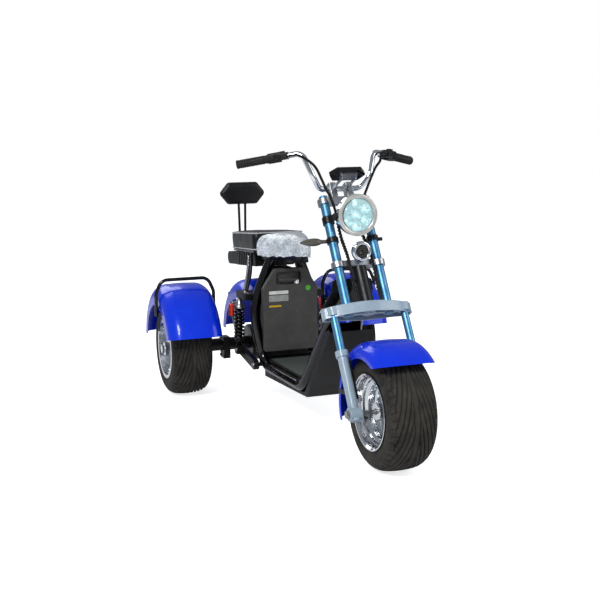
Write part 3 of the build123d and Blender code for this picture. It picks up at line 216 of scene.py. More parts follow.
def eased(points, count):
    """count points along a Catmull-Rom curve through the given ones, evenly spread by length."""
    p = np.asarray(points, dtype=float)
    p = np.vstack([2 * p[0] - p[1], p, 2 * p[-1] - p[-2]])
    t = np.linspace(0, len(p) - 3 - 1e-9, 40 * len(p))
    k = t.astype(int)
    f = (t - k)[:, None]
    a, b, c, d = p[k], p[k + 1], p[k + 2], p[k + 3]
    curve = 0.5 * (2 * b + (c - a) * f + (2 * a - 5 * b + 4 * c - d) * f ** 2
                   + (3 * b - a - 3 * c + d) * f ** 3)
    return evenly(curve, count)


# Moulded rubber: dark and dull, with a fine grain, and pale dust in patches of about 60 mm.
tyre_rubber = mottled("moulded_tyre_rubber", "#1A1918", "#423E38", 60, 0.62, 0.9, bump=0.25, grain_mm=1.5)
front_x, rear_x, axle_height, half_track = 0.784, -0.640, 0.217, 0.411      # metres
# Distance from the middle and radius, in millimetres, from the tread's middle to the bead.
tyre_half_profile = [(0, 217), (27, 216), (50, 213.5), (65, 209), (78, 201), (87.5, 190), (92.6, 178),
                     (94, 168), (92, 154), (86, 142), (79, 134), (75.4, 129.2)]


def treaded_tyre(name, x, y, body, replaced):
    """A ring of tyre sections: radius from the section's profile, less the depth of the grooves.

    A groove runs where the angle plus a curve of the distance from the middle is a whole number of
    pitches; the shoulders have short straight cuts between them."""
    pitches, sweep, groove_depth, half_tread = 18, 4.6, 0.0078, 0.077
    wall, bead_radius, flank_radius = 0.008, 0.1293, 0.2
    across = eased([(-w, r) for w, r in tyre_half_profile[:0:-1]] + tyre_half_profile, 150) / 1000
    inside = across[::-1] * [0.9, 1]
    inside[:, 1] = np.clip(across[::-1, 1] - wall, bead_radius, flank_radius)
    inside = inside[::8]
    angle = np.linspace(0, 2 * pi, 420, endpoint=False)[:, None]
    width, radius = across[:, 0][None, :], across[:, 1][None, :]
    off = np.abs(width) / half_tread
    phase = (angle / (2 * pi) * pitches + sweep * off * (1 + 0.05 * np.sign(width))) % 1.0
    near = np.minimum(phase, 1 - phase)
    groove = np.clip((0.19 - near) / 0.08, 0, 1) * ((off > 0.16) & (off < 0.98))
    second = (angle / (2 * pi) * 2.5 * pitches + 0.5 * off) % 1.0
    near_second = np.minimum(second, 1 - second)
    sipe = np.clip((0.16 - near_second) / 0.08, 0, 1) * ((off > 0.86) & (off < 1.12))
    middle = np.clip((0.0032 - np.abs(np.abs(width) - 0.010)) / 0.0012, 0, 1) * np.ones_like(angle)
    depth = groove_depth * np.maximum(np.maximum(groove, 0.75 * sipe), 0.8 * middle)
    ribs = 0.0008 * ((radius < 0.186) & (radius > 0.15)) * (np.sin(radius * 2200) > 0.4)
    rings = []
    for out, along in ((radius - depth + ribs, width), (inside[:, 1], inside[:, 0])):
        rings.append(np.stack([x + out * np.cos(angle), y + along + 0 * angle,
                               axle_height + out * np.sin(angle)], -1))
    ring = np.concatenate(rings, 1)
    rows, columns = ring.shape[:2]
    tyre = mesh_piece(name, ring, grid_faces(rows, columns, True, True)[:, ::-1], tyre_rubber, body)
    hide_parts(replaced)


treaded_tyre("front_tread", front_x, 0.0, "front_wheel", "front_tyre")
treaded_tyre("right_tread", rear_x, -half_track, "rear_right_wheel", "rear_right_tyre")
treaded_tyre("left_tread", rear_x, half_track, "rear_left_wheel", "rear_left_tyre")


# ---------------------------------------------------------------- wheels
# Cast aluminium rims, turned and polished: a bright rolled lip, a stepped barrel, and a hub held by
# bolts. The rear ones have six windows.
def axes_about(axis):
    """The axis as a unit vector, with two more at right angles to it."""
    axis = unit(axis)
    side = unit(np.cross(axis, [0, 0, 1] if abs(axis[2]) < 0.9 else [1, 0, 0]))
    return axis, side, np.cross(axis, side)


def turned(name, centre, axis, profile, material, body, steps=128):
    """A closed profile of (radius, distance) pairs, in millimetres, turned about an axis."""
    axis, side, third = axes_about(axis)
    angle = np.linspace(0, 2 * pi, steps, endpoint=False)[:, None, None]
    p = np.asarray(profile, dtype=float) / 1000
    around = side * np.cos(angle) + third * np.sin(angle)
    ring = np.asarray(centre) + axis * p[None, :, 1:2] + p[None, :, 0:1] * around
    piece = mesh_piece(name, ring, grid_faces(steps, len(p), True, True), material, body)
    tidy_shell(piece)
    return piece


def tidy_shell(piece):
    """Merges doubled points and turns every face outwards."""
    shell = bmesh.new()
    shell.from_mesh(piece.data)
    bmesh.ops.remove_doubles(shell, verts=shell.verts, dist=1e-6)
    bmesh.ops.dissolve_degenerate(shell, edges=shell.edges, dist=1e-7)
    bmesh.ops.recalc_face_normals(shell, faces=shell.faces)
    shell.to_mesh(piece.data)
    shell.free()


def crisp(piece, angle=35):
    """Keeps edges sharper than the angle crisp under smooth shading."""
    piece.data.set_sharp_from_angle(angle=radians(angle))
    return piece


# Polished aluminium: a bright mirror with slightly softer and greyer patches.
polished_aluminium = mottled("polished_aluminium", "#D6D9DD", "#C0C3C7", 60, 0.14, 0.26, metallic=1.0,
                             cover=(0.45, 0.8))
dish = [(139, -91), (134, -91), (131, -88), (127, -84), (126, -66), (117, -61), (115, -42), (106, -37),
        (103, -18), (97, -13), (95, 6), (88, 12), (60, 12), (56, 6), (36, 4), (33, -2), (33, -58),
        (30, -62), (12, -62), (12, 88), (30, 88), (32, 84), (32, 30), (97, 28), (101, 34), (109, 46),
        (121, 54), (125, 82), (134, 86), (139, 86), (139, 91), (129.5, 91), (118, 58), (104.5, 52),
        (104.5, -44), (121, -56), (128, -85), (131, -87), (139, -87)]
rim_piece = crisp(turned("front_dish", (front_x, 0, axle_height), (0, 1, 0), dish, polished_aluminium,
                         "front_wheel", 160))
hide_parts("front_rim")

# Zinc plate: light grey with a half dull shine.
zinc = mottled("zinc_plated_steel", "#B8B9BC", "#7D7A72", 12, 0.25, 0.5, metallic=1.0)


def bolt_head(name, centre, axis, across_mm, body, height_mm=6.0, material=None):
    """A hexagon head with a washer and a chamfered top, as one closed turned and flattened shape."""
    steps = 72
    angle = np.arange(steps) * 2 * pi / steps
    sixth = (angle % (pi / 3)) - pi / 6
    hexagon = across_mm / 2 / np.cos(sixth)
    disc = np.full_like(angle, across_mm * 0.5)
    rings = [(disc * 1.5, 0), (disc * 1.5, 1.2), (hexagon, 1.2), (hexagon, height_mm - 1),
             (disc * 0.92, height_mm), (disc * 0.02, height_mm + 0.4)]
    axis, side, third = axes_about(axis)
    around = side * np.cos(angle)[:, None] + third * np.sin(angle)[:, None]
    points = np.stack([np.asarray(centre) + axis * h / 1000 + r[:, None] / 1000 * around for r, h in rings])
    last = (len(rings) - 1) * steps
    faces = grid_faces(len(rings), steps, False, True).tolist()
    faces += [list(range(steps - 1, -1, -1)), list(range(last, last + steps))]
    piece = mesh_piece(name, points, faces, material or zinc, body)
    tidy_shell(piece)
    return crisp(piece, 25)


for k in range(6):
    a = k * pi / 3 + 0.3
    bolt_head(f"front_hub_bolt_{k}", (front_x + 0.074 * cos(a), 0.0118, axle_height + 0.074 * sin(a)),
              (0, -1, 0), 10, "front_wheel")
for side, sign in (("right", -1), ("left", 1)):
    nodes[f"rear_{side}_rim"].data.materials[0] = polished_aluminium
    for k in range(6):
        a = k * pi / 3 + 0.5236
        place = (rear_x + 0.046 * cos(a), sign * 0.4472, axle_height + 0.046 * sin(a))
        bolt_head(f"{side}_hub_bolt_{k}", place, (0, sign, 0), 10, f"rear_{side}_wheel")

# The valve is a short rubber stem in the barrel's first step. Soft rubber is a dull black; its grain
# is drawn coarser than it is, so that it shows.
black_rubber = mottled("black_rubber", "#101011", "#2A2A2A", 20, 0.55, 0.8, bump=0.2, grain_mm=0.8)
turned("front_valve", (front_x - 0.104, -0.070, axle_height - 0.046), (0.3, -0.9, 0.2),
       [(0.1, 0), (5, 0), (5, 6), (3.4, 9), (3.4, 24), (0.1, 24)], black_rubber, "front_wheel", 24)

# ---------------------------------------------------------------- frame and running gear
# Welded steel tube and plate, sprayed with gloss black; the fenders are pressed steel in deep blue
# lacquer; the crown and the sliders are cast and sprayed silver grey.
#
# Gloss lacquer mirrors the lamps softly, and satin black shows only broad dull highlights. The blue
# lacquer is deep and even. Silver paint on castings is pale, with a slight orange peel.
gloss_black = mottled("gloss_black_lacquer", "#040405", "#0E0F10", 90, 0.16, 0.34, coat=0.5, cover=(0.5, 0.85))
satin_black = mottled("satin_black_steel", "#050506", "#121211", 50, 0.35, 0.6, cover=(0.45, 0.8), ior=1.38)
blue_lacquer = mottled("blue_lacquer", "#0029CC", "#0438DC", 300, 0.22, 0.30, coat=0.35, ior=1.3)
silver_paint = mottled("silver_grey_paint", "#98AAB8", "#8496A4", 60, 0.30, 0.45, coat=0.3, bump=0.15,
                       grain_mm=1.2)
# The fork tubes' blue is a painted reflection of the sky, laid over the polish. Chrome is a clear mirror, and
# cast and brushed metal spread it; plastic is dull with a moulded grain of under a millimetre.
# The blue base colour of the fork tubes is a painted reflection of the sky.
chrome_painted_sky_reflection = mottled("polished_tube_painted_sky_reflection", "#5F93B8", "#3D74A2", 60, 0.38, 0.46, metallic=0.85)
chrome = mottled("chrome_plate", "#DDE1E6", "#C2C6CA", 30, 0.05, 0.16, metallic=1.0, cover=(0.5, 0.85))
cast_aluminium = mottled("cast_aluminium", "#B9BDC2", "#8F9296", 15, 0.28, 0.45, metallic=1.0, bump=0.15,
                         grain_mm=0.8)
brushed_steel = mottled("brushed_steel", "#A9ABAE", "#6F6C66", 20, 0.25, 0.5, metallic=1.0)
black_plastic = mottled("black_moulded_plastic", "#080809", "#131314", 25, 0.42, 0.6, ior=1.4, bump=0.3,
                        grain_mm=0.7)
grey_plastic = mottled("grey_moulded_plastic", "#393938", "#454442", 60, 0.42, 0.58, bump=0.35, grain_mm=0.7)
gloss_plastic = mottled("gloss_black_plastic", "#060607", "#101012", 30, 0.08, 0.2, coat=0.6)
# Both lenses are dyed right through, with a glossy face.
smoke_lens = mottled("smoked_lens", "#4A4640", "#5A564F", 20, 0.16, 0.24, coat=0.5)
red_lens = mottled("red_lens", "#7A0D0E", "#93191A", 20, 0.1, 0.2, coat=0.6)
finishes = {
    gloss_black: ("left_frame_tube", "right_frame_tube", "grab_rails", "rear_seat_frame"),
    satin_black: ("head_tube", "cross_members", "rear_subframe", "rear_axle_frame", "seat_bracket",
                  "fender_stays", "plate_bracket", "belly_pan", "headlight_bracket", "indicator_clamps",
                  "front_fender_stays", "drive_motor"),
    blue_lacquer: ("front_fender", "left_rear_fender", "right_rear_fender", "centre_fender"),
    silver_paint: ("fork_crown", "fork_sliders"),
    chrome_painted_sky_reflection: ("fork_tubes",),
    chrome: ("handlebar", "headlight_shell", "horn"),
    cast_aluminium: ("fork_yokes", "handlebar_clamps", "front_brake_caliper"),
    brushed_steel: ("front_axle", "front_brake_disc"),
    black_plastic: ("hand_controls", "controller_box", "battery_pack", "leg_shield"),
    grey_plastic: ("battery_cover",),
    gloss_plastic: ("display",),
    smoke_lens: ("right_indicator",),
    red_lens: ("tail_light",),
    black_rubber: ("floor_boards",),
}
for finish, names in finishes.items():
    for name in names:
        nodes[name].data.materials[0] = finish


# ---------------------------------------------------------------- front seat
# A small saddle of foam under black vinyl, still in the crinkled clear film that it was packed in.
def noise_field(x, y, z, seed, scale_mm):
    """Smooth unevenness between about -1 and 1: a sum of sine waves in seeded directions."""
    rng = np.random.default_rng(seed)
    total = 0 * x
    for k in range(9):
        d = rng.normal(size=3)
        d *= 2 * pi * 1000 / scale_mm * (0.6 + 0.25 * k) / np.linalg.norm(d)
        total = total + np.sin(d[0] * x + d[1] * y + d[2] * z + rng.uniform(0, 6.28)) / (1 + 0.35 * k)
    return total / 3


def looped(points, count):
    """A closed smooth outline through the given points, evenly spread by length."""
    p = np.asarray(points, dtype=float)
    line = eased(np.vstack([p[-2:], p, p[:2]]), 40 * len(p))
    start = np.argmin(np.linalg.norm(line[:len(line) // 3] - p[0], axis=1))
    near = np.linalg.norm(line - p[0], axis=1)
    near[:start + 60] = 9      # farther than any, so the loop isn't ended where it starts
    return evenly(line[start:np.argmin(near) + 1], count, closed=True)


def rounded(points, radius, count):
    """A closed outline with each corner rounded to the radius by a parabola, evenly spread by length."""
    p = np.asarray(points, dtype=float)
    before, after = np.roll(p, 1, 0), np.roll(p, -1, 0)
    into = (p - before) / np.linalg.norm(p - before, axis=1)[:, None]
    out = (after - p) / np.linalg.norm(after - p, axis=1)[:, None]
    half = np.arccos(np.clip((into * out).sum(1), -1, 1)) / 2
    reach = (radius * np.tan(half))[:, None]
    t = np.linspace(0, 1, 12)[None, :, None]
    a, b = (p - into * reach)[:, None], (p + out * reach)[:, None]
    pull = 0.18 * (a + b) / 2 + 0.82 * p[:, None]
    line = ((1 - t) ** 2 * a + 2 * t * (1 - t) * pull + t ** 2 * b).reshape(-1, 2)
    return evenly(np.vstack([line, line[:1]]), count, closed=True)


def ringed(outline, levels, rings, origin, first, second, third):
    """Rings of one outline: each is scaled about the outline's middle and set at its own height.

    levels are (scale, height in mm) from the middle of the underside to the middle of the top."""
    levels = eased(levels, rings)
    middle = (outline.max(0) + outline.min(0)) / 2
    flat = middle + (outline[None] - middle) * levels[:, :1, None]
    height = np.broadcast_to(levels[:, 1:2], flat.shape[:2])
    first, second, third = (np.asarray(v, dtype=float) for v in (first, second, third))
    spread = flat[..., :1] * first + flat[..., 1:] * second + height[..., None] * third
    return np.asarray(origin) + spread / 1000


def shell_piece(name, points, material, body):
    """A shell from rings that join round; it is closed where the first and last shrink to a point."""
    rows, columns = points.shape[:2]
    piece = mesh_piece(name, points, grid_faces(rows, columns, False, True), material, body)
    tidy_shell(piece)
    return piece


# Grained vinyl: a soft sheen, broken by a leather grain of about 1.6 mm.
vinyl = mottled("grained_black_vinyl", "#101012", "#1C1C1E", 70, 0.30, 0.46, bump=0.5, grain_mm=1.6,
                cover=(0.4, 0.85))
saddle_half = [(-400, 84), (-394, 108), (-376, 116), (-340, 107), (-290, 90), (-235, 71), (-180, 53),
               (-130, 38), (-98, 27), (-84, 15)]
other_half = [(x, -y) for x, y in saddle_half[::-1]]
saddle_outline = looped([(-402, 0)] + saddle_half + [(-80, 0)] + other_half, 168)
# The saddle's base, its forward direction that rises 3 in 100, its side and its height.
saddle_place = ((0, 0, 0.665), (1, 0, 0.03), (0, 1, 0), (0, 0, 1))
saddle_levels = [(0, 0.6), (0.45, 0.6), (0.8, 0.6), (0.87, 4), (0.955, 22), (0.995, 42), (0.985, 62),
                 (0.93, 82), (0.80, 96), (0.6, 103), (0.35, 107), (0, 109)]
saddle_points = ringed(saddle_outline, saddle_levels, 70, *saddle_place)
bumps = noise_field(*np.moveaxis(saddle_points, -1, 0), 3, 160)
saddle_points[..., 2] += 0.0015 * bumps * (saddle_points[..., 2] > 0.69)
saddle = shell_piece("saddle", saddle_points, vinyl, "chassis")
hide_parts("front_seat")

# Thin clear film: milky where it lies double, with a painted highlight, a paler colour, along its creases about
# 20 mm apart.
film, tree = empty_material("crinkled_clear_film")
place = add_node(tree, "ShaderNodeTexCoord")
warp = add_node(tree, "ShaderNodeTexNoise", {"Scale": 18.0, "Detail": 5.0}, {"Vector": (place, "Object")})
mixed = add_node(tree, "ShaderNodeMix", {"data_type": "VECTOR", 0: 0.12}, {4: (place, "Object"), 5: (warp, 1)})
creases = add_node(tree, "ShaderNodeTexVoronoi", {"feature": "DISTANCE_TO_EDGE", "Scale": 46.0},
                   {"Vector": (mixed, 1)})
crease_ridge_and_highlight = add_node(tree, "ShaderNodeMapRange", {"From Max": 0.25, "To Min": 1.0, "To Max": 0.0},
                 {"Value": (creases, 0)})
milky = add_node(tree, "ShaderNodeMapRange",
                 {"From Min": 0.32, "From Max": 0.62, "To Min": 0.62, "To Max": 0.98}, {"Value": (warp, 0)})
# The paler colour along the creases is a painted highlight; the same ridges also raise the bump.
film_tint_with_crease_highlight = add_node(tree, "ShaderNodeMix", {"data_type": "RGBA", 6: linear("#C3D0DE"), 7: linear("#F6FAFD")},
                {0: (crease_ridge_and_highlight, 0)})
relief = add_node(tree, "ShaderNodeBump", {"Strength": 0.9, "Distance": 0.003}, {"Height": (crease_ridge_and_highlight, 0)})
shader = add_node(tree, "ShaderNodeBsdfPrincipled",
                  {"Roughness": 0.12, "IOR": 1.5, "Coat Weight": 0.6, "Coat Roughness": 0.06},
                  {"Base Color": (film_tint_with_crease_highlight, 2), "Alpha": (milky, 0), "Normal": (relief, 0)})
add_node(tree, "ShaderNodeOutputMaterial", {}, {"Surface": (shader, 0)})

# The film lies in folds over the top, stands out in folds at the sides, and hangs unevenly at its hem.
film_levels = [(1.0, 22), (1.028, 42), (1.02, 64), (0.965, 86), (0.83, 101), (0.62, 109), (0.36, 113), (0, 115)]
film_points = ringed(saddle_outline, film_levels, 84, *saddle_place)
fx, fy, fz = np.moveaxis(film_points, -1, 0)
crinkle = np.abs(noise_field(fx, fy, fz, 11, 70)) + 0.6 * np.abs(noise_field(fx, fy, fz, 12, 34))
side_top, hem = 0.75, 0.70
low = np.clip((hem - fz) / 0.02, 0, 1)
film_points[..., 2] += 0.0034 * crinkle * (fz > side_top) - 0.010 * low * (1 + noise_field(
    fx, fy, 0 * fz, 14, 90))
outward = 0.0035 * crinkle * (fz <= side_top)
film_points[..., 1] += np.sign(fy) * outward * np.clip(np.abs(fy) / 0.04, 0, 1)
film_points[..., 0] += outward * 0.5
wrap_film = shell_piece("seat_film", film_points, film, "chassis")


# ---------------------------------------------------------------- rear seat and backrest
# A long wedge of foam and a hexagonal pad, both in grained vinyl; light piping is sewn round the
# top and the bottom edge of the seat.
def tube_points(path, radius, sides, reference, closed=False):
    """Rings of a round tube along a path; the reference direction keeps the rings from twisting."""
    if closed:
        ahead = np.roll(path, -1, 0) - np.roll(path, 1, 0)
    else:
        ahead = np.gradient(path, axis=0)
    ahead /= np.linalg.norm(ahead, axis=1)[:, None]
    side = np.cross(ahead, reference)
    side /= np.linalg.norm(side, axis=1)[:, None]
    third = np.cross(ahead, side)
    angle = np.linspace(0, 2 * pi, sides, endpoint=False)[None, :, None]
    radius = np.broadcast_to(np.asarray(radius, dtype=float), (len(path),))[:, None, None]
    return path[:, None] + radius * (side[:, None] * np.cos(angle) + third[:, None] * np.sin(angle))


def tube(name, path, radius, material, body, reference=(0, 0, 1), sides=12, closed=False):
    """A round tube along a path, closed into a loop or capped at its ends."""
    path, reference = np.asarray(path, dtype=float), np.asarray(reference, dtype=float)
    points = tube_points(path, radius, sides, reference, closed)
    rows = len(points)
    faces = grid_faces(rows, sides, closed, True).tolist()
    if not closed:
        faces += [list(range(sides)), list(range(rows * sides - 1, (rows - 1) * sides - 1, -1))]
    piece = mesh_piece(name, points, faces, material, body)
    tidy_shell(piece)
    return piece


seat_tilt = radians(4.5)
seat_origin = (-0.412, 0, 0.682)
seat_ahead, seat_up = (cos(seat_tilt), 0, sin(seat_tilt)), (-sin(seat_tilt), 0, cos(seat_tilt))
wedge = rounded([(-2, -126), (-2, 126), (-554, 64), (-554, -64)], 26, 260)
wedge_levels = [(0, 1), (0.5, 1), (0.93, 1), (0.972, 3), (0.987, 9), (0.996, 28), (1.0, 46), (0.996, 64),
                (0.985, 77), (0.965, 82.5), (0.90, 85), (0.7, 88), (0.4, 90), (0, 91)]
wedge_points = ringed(wedge, wedge_levels, 76, seat_origin, seat_ahead, (0, 1, 0), seat_up)
sag = noise_field(*np.moveaxis(wedge_points, -1, 0), 21, 220)
wedge_points[..., 2] += 0.0016 * sag * (wedge_points[..., 2] > 0.72)
ripple = noise_field(*np.moveaxis(wedge_points, -1, 0), 22, 90)
wedge_points[..., 1] += 0.0010 * ripple * (np.abs(wedge_points[..., 1]) > 0.05)
long_seat = shell_piece("long_seat", wedge_points, vinyl, "chassis")
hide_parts("rear_seat")

# Plastic piping: light grey and a little dull.
piping = mottled("light_grey_piping", "#B9BBBD", "#86888A", 20, 0.4, 0.6, bump=0.2, grain_mm=1.0)
middle = (wedge.max(0) + wedge.min(0)) / 2
for name, scale, height in (("top_piping", 0.986, 80), ("low_piping", 0.985, 6)):
    flat = middle + (wedge - middle) * scale
    loop = np.asarray(seat_origin) + (flat[:, :1] * seat_ahead + flat[:, 1:] * np.array([0, 1, 0])
                                      + height * np.asarray(seat_up)) / 1000
    tube(name, loop, 0.0032, piping, "chassis", seat_up, 10, closed=True)

pad_outline = rounded([(-120, 0), (-76, 53), (76, 53), (120, 0), (76, -53), (-76, -53)], 16, 200)
pad_levels = [(0, 0), (0.6, 0), (0.9, 0.5), (0.965, 4), (0.99, 14), (0.985, 26), (0.94, 35), (0.8, 39.5),
              (0.5, 42), (0, 43)]
pad_back, pad_height = -1.001, 0.916
pad_points = ringed(pad_outline, pad_levels, 60, (pad_back, 0, pad_height), (0, 1, 0), (0, 0, 1), (1, 0, 0))
pad_points[..., 0] += 0.0008 * noise_field(*np.moveaxis(pad_points, -1, 0), 31, 80)
pad = shell_piece("back_pad", pad_points, vinyl, "chassis")
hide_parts("backrest_pad")
pad_edge = (pad_outline * 0.992) / 1000
pad_seam = np.stack([0 * pad_edge[:, 0] - 0.9785, pad_edge[:, 0], pad_edge[:, 1] + pad_height], 1)
tube("pad_piping", pad_seam, 0.0026, vinyl, "chassis", (1, 0, 0), 10, closed=True)

# ---------------------------------------------------------------- headlight
# A chromed bowl with a clear polycarbonate lens over seven small bright reflectors set as a flower.
# Polycarbonate: clear, with a faint haze and a slight cyan cast.
clear_lens, tree = empty_material("clear_polycarbonate")
place = add_node(tree, "ShaderNodeTexCoord")
haze = add_node(tree, "ShaderNodeTexNoise", {"Scale": 60.0, "Detail": 3.0}, {"Vector": (place, "Object")})
gloss = add_node(tree, "ShaderNodeMapRange", {"To Min": 0.02, "To Max": 0.10}, {"Value": (haze, 0)})
shader = add_node(tree, "ShaderNodeBsdfPrincipled",
                  {"Base Color": linear("#E6FAFC"), "IOR": 1.45, "Transmission Weight": 1.0},
                  {"Roughness": (gloss, 0)})
add_node(tree, "ShaderNodeOutputMaterial", {}, {"Surface": (shader, 0)})
lamp_height = 0.900
lens = turned("lamp_lens", (0.486, 0, lamp_height), (1, 0, 0),
              [(0.05, 3), (2.5, 3), (9, 2.98), (20, 2.8), (40, 2.2), (68.9, 0.4), (68.9, 3.4), (62, 4.6),
               (40, 6.2), (20, 6.8), (9, 6.98), (2.5, 7), (0.05, 7)], clear_lens, "steering", 96)
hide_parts("headlight_lens")
# Silver lacquer is pale with a soft highlight. The vacuum coating is brighter.
satin_silver = mottled("satin_silver_lacquer", "#CFCFCB", "#B9B8B2", 40, 0.28, 0.40, metallic=0.6)
bright = mottled("vacuum_coated_reflector", "#F2FBFC", "#D2EEF3", 18, 0.14, 0.24, metallic=0.25)
# The lens keeps the lamps' light off the reflectors, so they glow a little in place of it.
coated = next(n for n in bright.node_tree.nodes if n.type == "BSDF_PRINCIPLED")
coated.inputs["Emission Color"].default_value = linear("#F1F4F2")
coated.inputs["Emission Strength"].default_value = 0.2
# The chips are pale phosphor with a painted glow: the lamp is unlit, and the glow stands in for light on them.
chip_painted_glow, tree = empty_material("pale_led_chip_painted_glow")
place = add_node(tree, "ShaderNodeTexCoord")
cells = add_node(tree, "ShaderNodeTexVoronoi", {"Scale": 300.0}, {"Vector": (place, "Object")})
tone = add_node(tree, "ShaderNodeMapRange", {"To Min": 0.8, "To Max": 1.0}, {"Value": (cells, 0)})
tinted = add_node(tree, "ShaderNodeMix", {"data_type": "RGBA", 6: linear("#D8F4F8"), 7: linear("#FFFFFF")},
                  {0: (tone, 0)})
# Emission Strength 0.8 is the painted glow of the unlit chips.
shader = add_node(tree, "ShaderNodeBsdfPrincipled", {"Roughness": 0.4, "Emission Strength": 0.8},
                  {"Base Color": (tinted, 2), "Emission Color": (tinted, 2)})
add_node(tree, "ShaderNodeOutputMaterial", {}, {"Surface": (shader, 0)})
turned("lamp_backing", (0.458, 0, lamp_height), (1, 0, 0),
       [(0.05, 0), (63, 0), (66, 14), (64, 15), (60, 2), (0.05, 2)], bright, "steering", 96)
cup = [(4, 0), (9, 2), (14, 6), (17.5, 11), (19.8, 18), (20.3, 18), (18.2, 10.5), (14.5, 5), (9.5, 1), (4, -1)]
chip = [(0.05, -1), (5.2, -1), (5.2, 2), (3, 4), (0.05, 4.6)]
for k in range(7):
    ring = 0 if k == 6 else 0.0415         # six round one in the middle
    y, z = ring * cos(k * pi / 3 + pi / 6), lamp_height + ring * sin(k * pi / 3 + pi / 6)
    turned(f"lamp_cup_{k}", (0.462, y, z), (1, 0, 0), cup, bright, "steering", 48)
    turned(f"lamp_chip_{k}", (0.4655, y, z), (1, 0, 0), chip, chip_painted_glow, "steering", 32)
bezel = [(62.5, -4.1), (63.2, -1.2), (66, 1.6), (73, 2.6), (77.5, 1.6), (79.3, -1), (79.3, -4), (76, -1),
         (70.5, 0.4), (69, -1), (68.6, -5)]
turned("lamp_bezel", (0.495, 0, lamp_height), (1, 0, 0), bezel, satin_silver, "steering", 128)

# ---------------------------------------------------------------- horn
# A pressed disc horn with a chromed ring round a black slotted grille.
horn_front, horn_height = 0.528, 0.766
turned("horn_ring", (horn_front, 0, horn_height), (1, 0, 0),
       [(25, -1), (37.5, -1), (38, 1), (35.5, 4), (28, 4.6), (25, 2.4)], chrome, "steering", 96)
turned("horn_face", (horn_front, 0, horn_height), (1, 0, 0),
       [(0.05, 0.2), (25.2, 0.2), (25.2, 1.4), (20, 2.0), (0.05, 2.2)], gloss_plastic, "steering", 64)
for k in range(5):
    z = (k - 2) * 0.0082
    reach = (0.0242 ** 2 - z ** 2) ** 0.5
    bar = np.stack([np.full(24, 0.5308), np.linspace(-reach, reach, 24), np.full(24, horn_height + z)], 1)
    tube(f"horn_bar_{k}", bar, 0.0017, grey_plastic, "steering", (1, 0, 0), 10)


# ---------------------------------------------------------------- grips and controls
# Soft black rubber sleeves with raised rings; the bar between them is chromed.
def bar_point(sign, distance, ahead=0.0, up=0.0):
    """A point in from the end of the bar, in metres, moved ahead and up from its centre line."""
    end, shoulder = np.array([0.175, sign * 0.370, 1.090]), np.array([0.300, sign * 0.150, 1.132])
    inwards = unit(shoulder - end)
    forward = unit(np.cross([0, 0, 1], inwards) * sign)
    return end + inwards * distance + forward * ahead + np.cross(inwards, forward) * sign * up


for side, sign in (("right", -1), ("left", 1)):
    run = np.linspace(0, 1, 240)
    sleeve = np.stack([bar_point(sign, -0.004 + 0.128 * f) for f in run])
    rings = (np.sin(run * 2 * pi * 17) > 0) * ((run > 0.12) & (run < 0.88))
    collars = (run < 0.06) | (run > 0.93)
    ribs = 0.0158 + 0.0011 * rings + 0.0012 * collars
    ribs[[0, -1]] -= 0.0012
    grip = tube(f"{side}_grip", sleeve, ribs, black_rubber, "steering", (0, 0, 1), 40)
    if sign < 0:
        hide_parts("grips")


# ---------------------------------------------------------------- cables
# Each hand control sends three thin black cables down beside the fork; a spiral of plastic tape
# holds them together between the upper tubes.
steering_lean = radians(30.5)


def up_fork(distance, y, ahead):
    """A point up the steering axis from the front axle, in metres from millimetres."""
    rise, run = cos(steering_lean), sin(steering_lean)
    return (front_x - distance / 1000 * run + ahead / 1000 * rise, y / 1000,
            axle_height + distance / 1000 * rise + ahead / 1000 * run)


# PVC sheath: black with a soft sheen.
cable_skin = mottled("black_cable_sheath", "#0D0D0E", "#1E1E1F", 30, 0.38, 0.55, bump=0.2, grain_mm=1.0)
# Distance up the fork, to the side and ahead of the points that the cables pass, in millimetres.
passes = ((965, 144, 96), (940, 122, 88), (905, 102, 68), (870, 84, 50), (845, 71, 42), (795, 52, 17),
          (750, 46, 2), (690, 46, 3), (640, 48, 18), (600, 48, 28), (548, 48, 30), (500, 48, 24), (411, 48, 22))
upright = np.array([1.0, 0.15, 0.1])       # keeps the strands from twisting round each other
for side, sign in (("right", -1), ("left", 1)):
    route = [bar_point(sign, 0.2011, 0.028, -0.002), bar_point(sign, 0.225, 0.028, -0.002),
             bar_point(sign, 0.247, 0.030, -0.006)]
    route += [up_fork(distance, sign * off, ahead) for distance, off, ahead in passes]
    line = eased(route, 220)
    core = tube_points(line, 0.0032, 3, upright)
    for k in range(3):
        strand = tube(f"{side}_cable_{k}", core[:, k], 0.0024, cable_skin, "steering", (1, 0.15, 0.1), 10)
        if k == 0 and sign < 0:
            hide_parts("cable_looms")
    wrapped = line[110:206]
    count, coils, sides = 900, 22, 64
    steps = np.linspace(0, 1, count)
    spine = np.stack([np.interp(steps, np.linspace(0, 1, len(wrapped)), c) for c in wrapped.T], 1)
    rings = tube_points(spine, 0.0066, sides, upright)
    turns = (steps * coils * sides).astype(int) % sides
    helix = rings[np.arange(count), turns]
    tube(f"{side}_wrap", helix, 0.0013, cable_skin, "steering", (0.3, 0.2, 1), 6)

